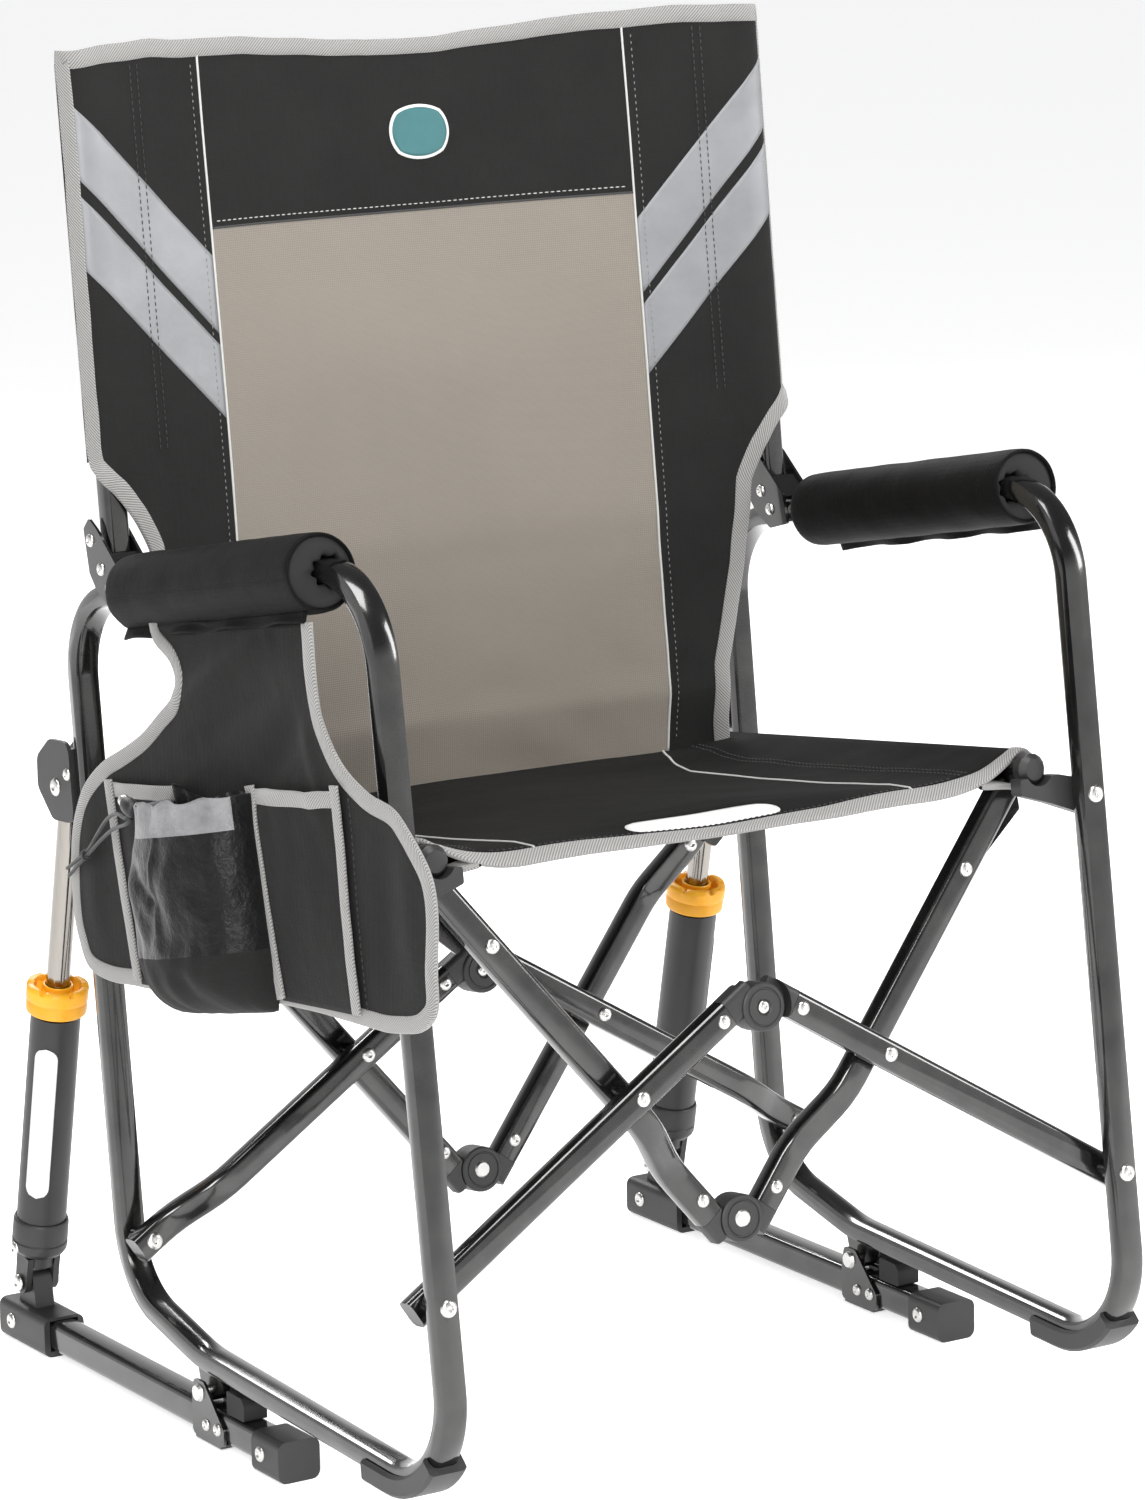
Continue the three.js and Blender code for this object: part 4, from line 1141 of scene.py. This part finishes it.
def make_bottle_pocket():
    columns = np.linspace(0, POCKET_RUN, 91)
    rows = np.concatenate([np.linspace(0, 24, 13), np.linspace(27, 104, 27),
                           np.linspace(107, POCKET_DEEP, 15)])
    uvs = [(a, v) for v in rows for a in columns]
    verts = [pocket_point(a, -v) for a, v in uvs]
    kinds = []
    for v in rows[:-1]:
        for a in columns[:-1]:
            if v < 20.5:
                kinds.append(1 if 13 < a else 0)
            else:
                kinds.append(2 if v > 99 else 0)
    ob = add_mesh("bottle_pocket_cloth", verts, grid_faces(len(rows), len(columns), flip=True), NYLON,
                  "frame_left", uvs=uvs, mats=[NYLON, LINING, RIPSTOP], face_mats=kinds)
    made = [solidify(ob, 1.3, -1)]
    for name, b, width, height in (("hem", -21.5, 1.3, 0.5), ("base", -100.5, 2.0, 0.8)):
        line = [(a, b) for a in np.linspace(4, 176, 90)]
        made.append(seam(f"bottle_pocket_{name}_seam", pocket, line, "frame_left", width, height,
                         DARK_THREAD))
    row = [(a, -104) for a in np.linspace(6, 174, 60)]
    made.append(stitches("bottle_pocket_stitching", pocket, [row], "frame_left", mat=DARK_THREAD))

    # the cloth tube's own back wall, crumpled where it stands above the hem
    nu, nv = 40, 22
    verts, uvs = [], []
    for j in range(nv + 1):
        for i in range(nu + 1):
            s, t = i / nu, j / nv
            u = 4 + 104 * s
            rise = 9 * math.exp(-((s - 0.86) / 0.16) ** 2) + 2 * math.sin(9 * s)
            v = -rise * (1 - t) + 62 * t
            y, z = POCKET_TOP + POCKET_ACROSS * u + POCKET_DOWN * v
            crumple = 7.5 * math.exp(-((s - 0.84) / 0.14) ** 2) * (1 - t)
            puff = 3.0 + crumple + 1.6 * math.sin(s * 38 + 4 * t)
            puff *= min(1.0, 5 * s + 0.2, 5 * (1 - s) + 0.2)
            verts.append(panel.lifted(y, z, 0.9 + puff))
            uvs.append((u, v))
    faces = grid_faces(nv + 1, nu + 1, flip=True)
    wall = add_mesh("bottle_pocket_back", verts, faces, NYLON, "frame_left", uvs=uvs)
    made.append(solidify(wall, 0.9, -1))
    return made


def make_drawstring():
    """Cord lock at the mouth, two strands to a knot, and their tails, lying against the panel."""
    lock = np.array([-331.0, -2.0, 455.0])
    aim = unit(np.array([0.12, 0.93, 0.2]))
    barrel = [(0, -9), (3.6, -9), (5.4, -7), (5.8, -1), (5.6, 3), (4.6, 6), (0, 6)]
    button = [(0, 4), (3.6, 5), (4.3, 9), (4.0, 11.5), (2.4, 13), (0, 13.2)]
    merged("cord_lock", [turned(barrel, lock, aim, 20)], PLASTIC, "frame_left", 60)
    merged("cord_lock_button", [turned(button, lock, aim, 20)], RIVET, "frame_left", 60)
    # strands, from the lock down and rearward over the pocket and the panel: each point and the gap there
    line = [(-331, -4, 449, 1.6), (-331, 4, 444, 2.2), (-327, 22, 441, 4.6), (-322.5, 44, 433.5, 4.6),
            (-319, 66, 421, 3.0), (-317, 82, 410, 1.5), (-316.2, 92, 403.5, 1.2), (-315.2, 104, 397, 1.6),
            (-313.6, 116, 390.5, 2.2), (-312.2, 128, 384, 2.8)]
    strands = []
    for k, spread in enumerate((1.0, -1.0)):
        points = [(x, y + 0.45 * spread * gap, z + 0.85 * spread * gap) for x, y, z, gap in line]
        path = smooth_path(points, 2.5)
        ob = tube(f"drawstring_{k + 1}", path, 1.3, CORD, "frame_left", 10)
        strands.append((ob, path))
    # overhand knot: a small trefoil of the same cord
    centre = np.array([-316.4, 92.5, 403.2])
    along = unit(np.array([0, 26.0, -17.0]))
    up = unit(np.array([0, 17.0, 26.0]))
    out = np.array([-1.0, 0, 0])
    loop = []
    for a in np.linspace(0, 2 * math.pi, 60):
        ring = up * math.cos(2 * a) + out * math.sin(2 * a)
        loop.append(centre + along * 2.0 * math.sin(3 * a) + ring * (2.3 + 0.5 * math.cos(3 * a)))
    tube("drawstring_knot", loop, 1.15, CORD, "frame_left", 8)
    return strands


def make_organizer():
    made = [make_panel()]
    outline = [panel_top[0]] + panel_front[::-1][1:] + panel_bottom[1:] + panel_rear[1:]
    path = resample(smooth_path(outline, 4.5), 4.5)
    made.append(binding("organizer_binding", panel, path, "frame_left", 10.5, thick=1.5, wobble=0.9))
    made += sewn_pocket("rear_pocket", ((-6, 327), (37, 322), (67, 456), (-27, 469)), 5.0)
    made += sewn_pocket("front_pocket", ((-164, 352), (-262, 362), (-240, 502), (-129, 485)), 6.0)
    tapes = {
        "pocket_tape_rear": [(68, 459), (60, 420), (49, 375), (37, 325)],
        "pocket_tape_middle": [(-127, 488), (-139, 440), (-152, 395), (-165, 353)],
        "pocket_tape_front": [(-240, 507), (-247, 460), (-256, 410), (-264, 363)],
    }
    for name, points in tapes.items():
        made.append(tape(name, panel, smooth_path(points, 4.0), "frame_left", 10.0, 4.2))
    row = smooth_path([(-250, 507), (-256, 460), (-264, 410), (-271, 363)], 4.0)
    made.append(stitches("organizer_stitching", panel, [row], "frame_left", mat=DARK_THREAD))
    return made


# ------------------------------------------------------------------ arm pads

PAD_X, PAD_R = 279.0, 26.0
PAD_FRONT, PAD_REAR = np.array([-177.4, 631.5]), np.array([74.0, 583.0])
PAD_LONG = float(np.linalg.norm(PAD_REAR - PAD_FRONT))
PAD_DIR = (PAD_REAR - PAD_FRONT) / PAD_LONG
SEAM_ANGLE = math.radians(-62)


def pad_point(side, s, angle, radius):
    """s along the pad from its front; angle 0 is outboard and 90 degrees is up."""
    y, z = PAD_FRONT + PAD_DIR * s
    up = np.array([-PAD_DIR[1], PAD_DIR[0]])
    out, rise = radius * math.cos(angle), radius * math.sin(angle)
    return np.array([side * (PAD_X + out), y + up[0] * rise, z + up[1] * rise])


# The foam's end face from rim to hole: share of the way in, and depth.
FOAM_END = ((0.0, 0.9), (0.12, 0.0), (0.5, 0.0), (0.86, 0.3), (1.0, 1.6), (1.0, 9.0))


def make_pad(side):
    word = side_word(side)
    body = f"frame_{word}"
    angles = circle(56)

    def radius(s, a):
        end = min(s, PAD_LONG - s)
        r = PAD_R + 0.35 - 0.8 * math.exp(-end / 7)
        r += 0.55 * noise.noise(Vector((s / 30, 2 * math.cos(a), 2 * math.sin(a) + side)))
        pucker = noise.noise(Vector((s / 9, math.cos(a), math.sin(a))))
        r += 0.35 * math.sin(s / 5.5 + 3 * math.sin(a)) * math.exp(-end / 26) * pucker
        low = math.exp(-((a - SEAM_ANGLE + math.pi) % (2 * math.pi) - math.pi) ** 2 / 0.02)
        return r + 0.8 * low

    rings, uvs = [], []
    inner = [(5.0, 23.2), (2.0, 23.6), (0.3, 24.2), (0.0, 25.0)]
    for s, r in inner:
        rings.append([pad_point(side, s, a, r) for a in angles])
        uvs += [(a * PAD_R, s - 6) for a in angles]
    for s in np.linspace(0.9, PAD_LONG - 0.9, 90):
        rings.append([pad_point(side, s, a, radius(s, a)) for a in angles])
        uvs += [(a * PAD_R, s) for a in angles]
    for s, r in reversed(inner):
        rings.append([pad_point(side, PAD_LONG - s, a, r) for a in angles])
        uvs += [(a * PAD_R, PAD_LONG - s + 6) for a in angles]
    verts, faces = loft(rings, caps=False)
    cover = add_mesh(f"pad_cover_{word}", verts, faces, COVER, body, uvs=uvs)
    fix_normals(cover)
    solidify(cover, 0.7, -1)

    # foam core, with the frame tube in a ragged hole through each end
    def hole(a, s):
        rough = noise.noise(Vector((3 * math.cos(a), 3 * math.sin(a), s)))
        return 1.8 + (1.3 * math.cos(9 * a + 0.7) + 0.9 * rough)

    verts, faces = [], []
    for s in (2.4, PAD_LONG - 2.4):
        inward = 1 if s < 10 else -1
        rings = []
        for k, (share, sink) in enumerate(FOAM_END):
            ring = []
            for a in angles:
                # the hole is centred on the tube, inboard of the pad's own axis
                px = ((10.6 + hole(a, s)) * math.cos(a) - 8.0) * share + 23.4 * math.cos(a) * (1 - share)
                pz = (8.6 + hole(a, s)) * math.sin(a) * share + 23.4 * math.sin(a) * (1 - share)
                pore = 0.35 * noise.noise(Vector((px / 1.6, pz / 1.6, s))) if 0 < k < 5 else 0
                r, angle = math.hypot(px, pz), math.atan2(pz, px)
                ring.append(pad_point(side, s + inward * (sink + pore), angle, r))
            rings.append(ring)
        faces += shifted(loft(rings, caps=False)[1], len(verts))
        verts += [q for ring in rings for q in ring]
    foam = add_mesh(f"pad_foam_{word}", verts, faces, FOAM, body)
    fix_normals(foam)
    solidify(foam, 1.2, -1)

    # sewn flap along the bottom of the cover
    verts, uvs = [], []
    steps, rows = 80, 5
    for j in range(rows + 1):
        for i in range(steps + 1):
            s = 3 + (PAD_LONG - 6) * i / steps
            wave = 0.06 * math.sin(s / 11.0 + side) * j / rows
            drop = 8.5 * j / rows * (1 + 0.12 * noise.noise(Vector((s / 25, side, 0))))
            verts.append(pad_point(side, s, SEAM_ANGLE + wave, PAD_R + 0.2 + drop))
            uvs.append((s, drop))
    faces = grid_faces(rows + 1, steps + 1)
    flap = add_mesh(f"pad_flap_{word}", verts, faces, COVER, body, uvs=uvs)
    solidify(flap, 1.6, 0)
    return cover


# ------------------------------------------------------------------ rivets, hubs, pistons

BODY_OF = {node: body for body, names in frame["record"]["behaviour"]["bodies"].items() for node in names}
_trees = {}


def strike(node, start, direction):
    """Where a ray from start first meets a CAD node, in the chair frame, or None."""
    if node not in _trees:
        mesh = nodes[node].data
        corners, polygons = [v.co for v in mesh.vertices], [tuple(f.vertices) for f in mesh.polygons]
        _trees[node] = BVHTree.FromPolygons(corners, polygons)
    spot, *_ = _trees[node].ray_cast(Vector(place(start)), Vector(direction))
    return None if spot is None else (np.array(spot) - MID) * 1000


FALL_AXIS = np.array([0.0, math.cos(FALL), -math.sin(FALL)])  # rearwards in the scissors' frame


def scissor_rivets():
    """Rivets through the bars and legs, heads in front and behind."""
    groups = {}

    def put(node, x, h, from_front, radius=5.2, height=2.2):
        t = -420 if from_front else 260
        if "rear" in node and from_front:
            t = -150
        if "front" in node and not from_front:
            t = -150
        direction = FALL_AXIS if from_front else -FALL_AXIS
        hit = strike(node, mech(x, t, h), direction)
        if hit is not None:
            groups.setdefault(BODY_OF[node], []).append(rivet(hit, -direction, radius, height))

    for side in ("left", "right"):
        k = -1 if side == "left" else 1
        for where in ("front", "rear"):
            for front in (True, False):
                put(f"low_{where}_bar_{side}" if front else f"up_{where}_bar_{side}", k * 98.9, 238.9, front)
                put(f"low_{where}_bar_{side}", k * 31.5, 280.0, front, 4.8)
                put(f"up_{where}_bar_{side}", k * 29.5, 155.5, front, 4.8)
                put(f"up_{where}_bar_{side}", k * 188.7, 351.0, front)
        put(f"side_frame_{side}", k * 270.8, 132.5, True, 6.0, 2.8)
        put(f"low_rear_bar_{side}", k * 270.8, 132.5, True, 6.0, 2.6)
        put(f"side_frame_{side}", k * 270.8, 132.5, False, 6.0, 2.6)
        put(f"side_frame_{side}", k * 270.8, 394.0, True, 6.0, 2.6)
    return groups


def side_rivets():
    """Rivets through brackets, caps and the piston, heads on both of their sides."""
    groups = {}
    spots = {
        "back_bracket": [((108, 581), 4.6), ((119.5, 593), 4.6), ((134, 611), 4.6)],
        "piston_bracket": [((198.4, 428), 6.4), ((180, 440), 4.4)],
        "pivot_bracket": [((4.0, 15.5), 4.2), ((-11.7, 16), 4.4)],
        "ground_front_cap": [((-76, 17), 5.4)],
        "ground_rear_cap": [((293, 17), 5.6)],
        "piston_yoke": [((282, 48), 6.2)],
        "piston_barrel": [((276, 76), 5.0)],
    }
    for name, places in spots.items():
        for side in ("left", "right"):
            node = f"{name}_{side}"
            for (y, z), radius in places:
                for start, direction in ((-420, 1), (420, -1)):
                    if (start < 0) != (side == "left"):
                        start = 0  # from the middle of the chair, for the inner head
                    hit = strike(node, (start, y, z), (direction, 0, 0))
                    if hit is not None:
                        head = rivet(hit, (-direction, 0, 0), radius, 2.2)
                        groups.setdefault(BODY_OF[node], []).append(head)
    return groups


def make_rivets():
    groups = scissor_rivets()
    for body, parts in side_rivets().items():
        groups.setdefault(body, []).extend(parts)
    return [merged(f"rivets_{body}", parts, RIVET, body, 50) for body, parts in groups.items()]


# Depths of the hubs' front and back faces: the upper hub's and then the lower hub's.
HUB_FACES = {"front": ((-299.5, -283.5), (-252.0, -236.0)), "rear": ((81.0, 97.0), (88.0, 104.0))}
hub_profile = [(5.2, -1.0), (5.2, 0.5), (6.3, 1.5), (11.6, 1.6), (12.0, 0.9), (13.0, 0.9), (13.4, 1.6),
               (15.3, 1.5), (16.3, 0.7), (16.4, -0.6)]


def make_hub_covers():
    """Turned faces of the moulded hubs: a rim, a groove and a sunk centre, with a rivet in the upper ones."""
    for where, (upper, lower) in HUB_FACES.items():
        for hub, kind, h, (near, far) in (("upper", "low", 285.5, upper), ("lower", "up", 138.8, lower)):
            for end, t, out in (("front", near, -1), ("back", far, 1)):
                side = "left" if (end == "front") == (hub == "upper") else "right"
                body = BODY_OF[f"{kind}_{where}_knuckle_{side}"]
                start = mech(9.5 if side == "right" else -9.5, t + 30 * out, h)
                hit = strike(f"{kind}_{where}_knuckle_{side}", start, -out * FALL_AXIS)
                if hit is None:
                    continue
                centre = hit + np.array([-hit[0], 0, 0])
                axis = out * FALL_AXIS
                merged(f"{where}_{hub}_hub_{end}", [turned(hub_profile, centre, axis, 40)], PLASTIC, body, 35)
                if hub == "upper":
                    merged(f"{where}_{hub}_rivet_{end}", [rivet(centre, axis, 4.6, 2.4)], RIVET, body, 50)


PISTON_FOOT, PISTON_HEAD = np.array([282.0, 48.0]), np.array([198.4, 428.0])
PISTON_DIR = (PISTON_HEAD - PISTON_FOOT) / np.linalg.norm(PISTON_HEAD - PISTON_FOOT)


def piston_point(side, s, angle, radius):
    """s up the piston's axis from its foot; angle 0 is outboard, 90 degrees to the rear."""
    y, z = PISTON_FOOT + PISTON_DIR * s
    across = np.array([PISTON_DIR[1], -PISTON_DIR[0]])
    y, z = np.array([y, z]) + across * radius * math.sin(angle)
    return np.array([side * (HALF + radius * math.cos(angle)), y, z])


# Radius and height of the collar: plain skirt, lobed rim with bolt slots, and a ribbed well round the rod.
collar_profile = [(18.6, 0.2), (20.8, 0.2), (21.7, 1.2), (21.9, 8.2), (21.2, 9.2), (21.2, 9.9), (22.4, 10.9),
                  (22.7, 12), (22.7, 18.2), (22.0, 20.0), (20.6, 20.9), (17.6, 20.9), (16.8, 20.0),
                  (16.4, 14.6), (15.6, 14.0), (11.6, 14.0), (11.1, 14.6), (10.9, 20.2), (10.3, 20.8),
                  (9.5, 20.8), (9.1, 20.2), (9.1, 8.0)]
# Radius and place along the barrel of its foot cap: a slight flare with a parting groove.
cap_profile = [(18.3, 52.2), (19.2, 51.6), (19.9, 49.5), (20.0, 36.2), (19.4, 35.6), (19.4, 34.8),
               (20.0, 34.2), (19.9, 29.5), (18.9, 27.4), (16.0, 25.2)]
COLLAR_AT = 215.3


def collar_ring(side, r, up):
    ring = []
    for a in circle(96):
        q, h = r, up
        if r > 20 and up > 10:
            q += 0.55 * math.cos(6 * a)
        if 17 < r and up > 19:
            h -= 2.6 * max(0.0, math.cos(6 * a + math.pi)) ** 6
        if 11 < r < 17 and up < 15:
            h += 4.4 * max(0.0, math.cos(6 * a)) ** 10
        ring.append(piston_point(side, COLLAR_AT + h, a, q))
    return ring


def turned_shell(name, rings, mat, body, thick):
    ob = lofted(name, rings, mat, body, caps=False)
    ob.data.set_sharp_from_angle(angle=math.radians(40))
    return solidify(ob, thick, -1)


def make_piston_dress(side):
    word = side_word(side)
    body = f"piston_{word}"
    # blank label with rounded ends on the barrel, outboard of the right one and to the front of the left one
    low, high, half = 74.0, 192.0, 8.6
    turn = math.radians(-8 if side > 0 else -46)
    verts, uvs = [], []
    nu, nv = 12, 60
    for j in range(nv + 1):
        s = low + (high - low) * j / nv
        end = min(s - low, high - s)
        width = half if end >= half else math.sqrt(max(0.0, half ** 2 - (half - end) ** 2))
        for i in range(nu + 1):
            a = turn + (2 * i / nu - 1) * width / 18.0
            verts.append(piston_point(side, s, a, 18.42))
            uvs.append((a * 18, s))
    faces = grid_faces(nv + 1, nu + 1)
    label = add_mesh(f"piston_label_{word}", verts, faces, LABEL, body, uvs=uvs)
    solidify(label, 0.35, 0)

    rings = [collar_ring(side, r, up) for r, up in collar_profile]
    collar = turned_shell(f"piston_collar_body_{word}", rings, AMBER, body, 0.6)
    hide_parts(f"piston_collar_{word}")
    rings = [[piston_point(side, s, a, r) for a in circle(48)] for r, s in cap_profile]
    turned_shell(f"piston_foot_cap_{word}", rings, PLASTIC, body, 0.8)


# ------------------------------------------------------------------ run

make_camera()
make_studio()
finish_nodes()


for side in SIDES:
    piece = make_back_sleeve(side)
    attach(piece, f"frame_{side_word(side)}")
back_pieces = [make_back()] + back_dress() + back_patch()
for piece in back_pieces:
    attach(piece, "frame_left")
    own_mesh(piece)
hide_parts("back_sling")

seat_pieces = [make_seat()] + seat_dress()
for piece in seat_pieces:
    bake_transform(piece)
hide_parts("seat_sling")

for piece in make_organizer():
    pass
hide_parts("organizer_panel")
for piece in make_bottle_pocket():
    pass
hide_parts("bottle_pocket")
for ob, path in make_drawstring():
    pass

for side in SIDES:
    cover = make_pad(side)
    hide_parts(f"arm_pad_{side_word(side)}")

for piece in make_rivets():
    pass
make_hub_covers()
for side in SIDES:
    make_piston_dress(side)
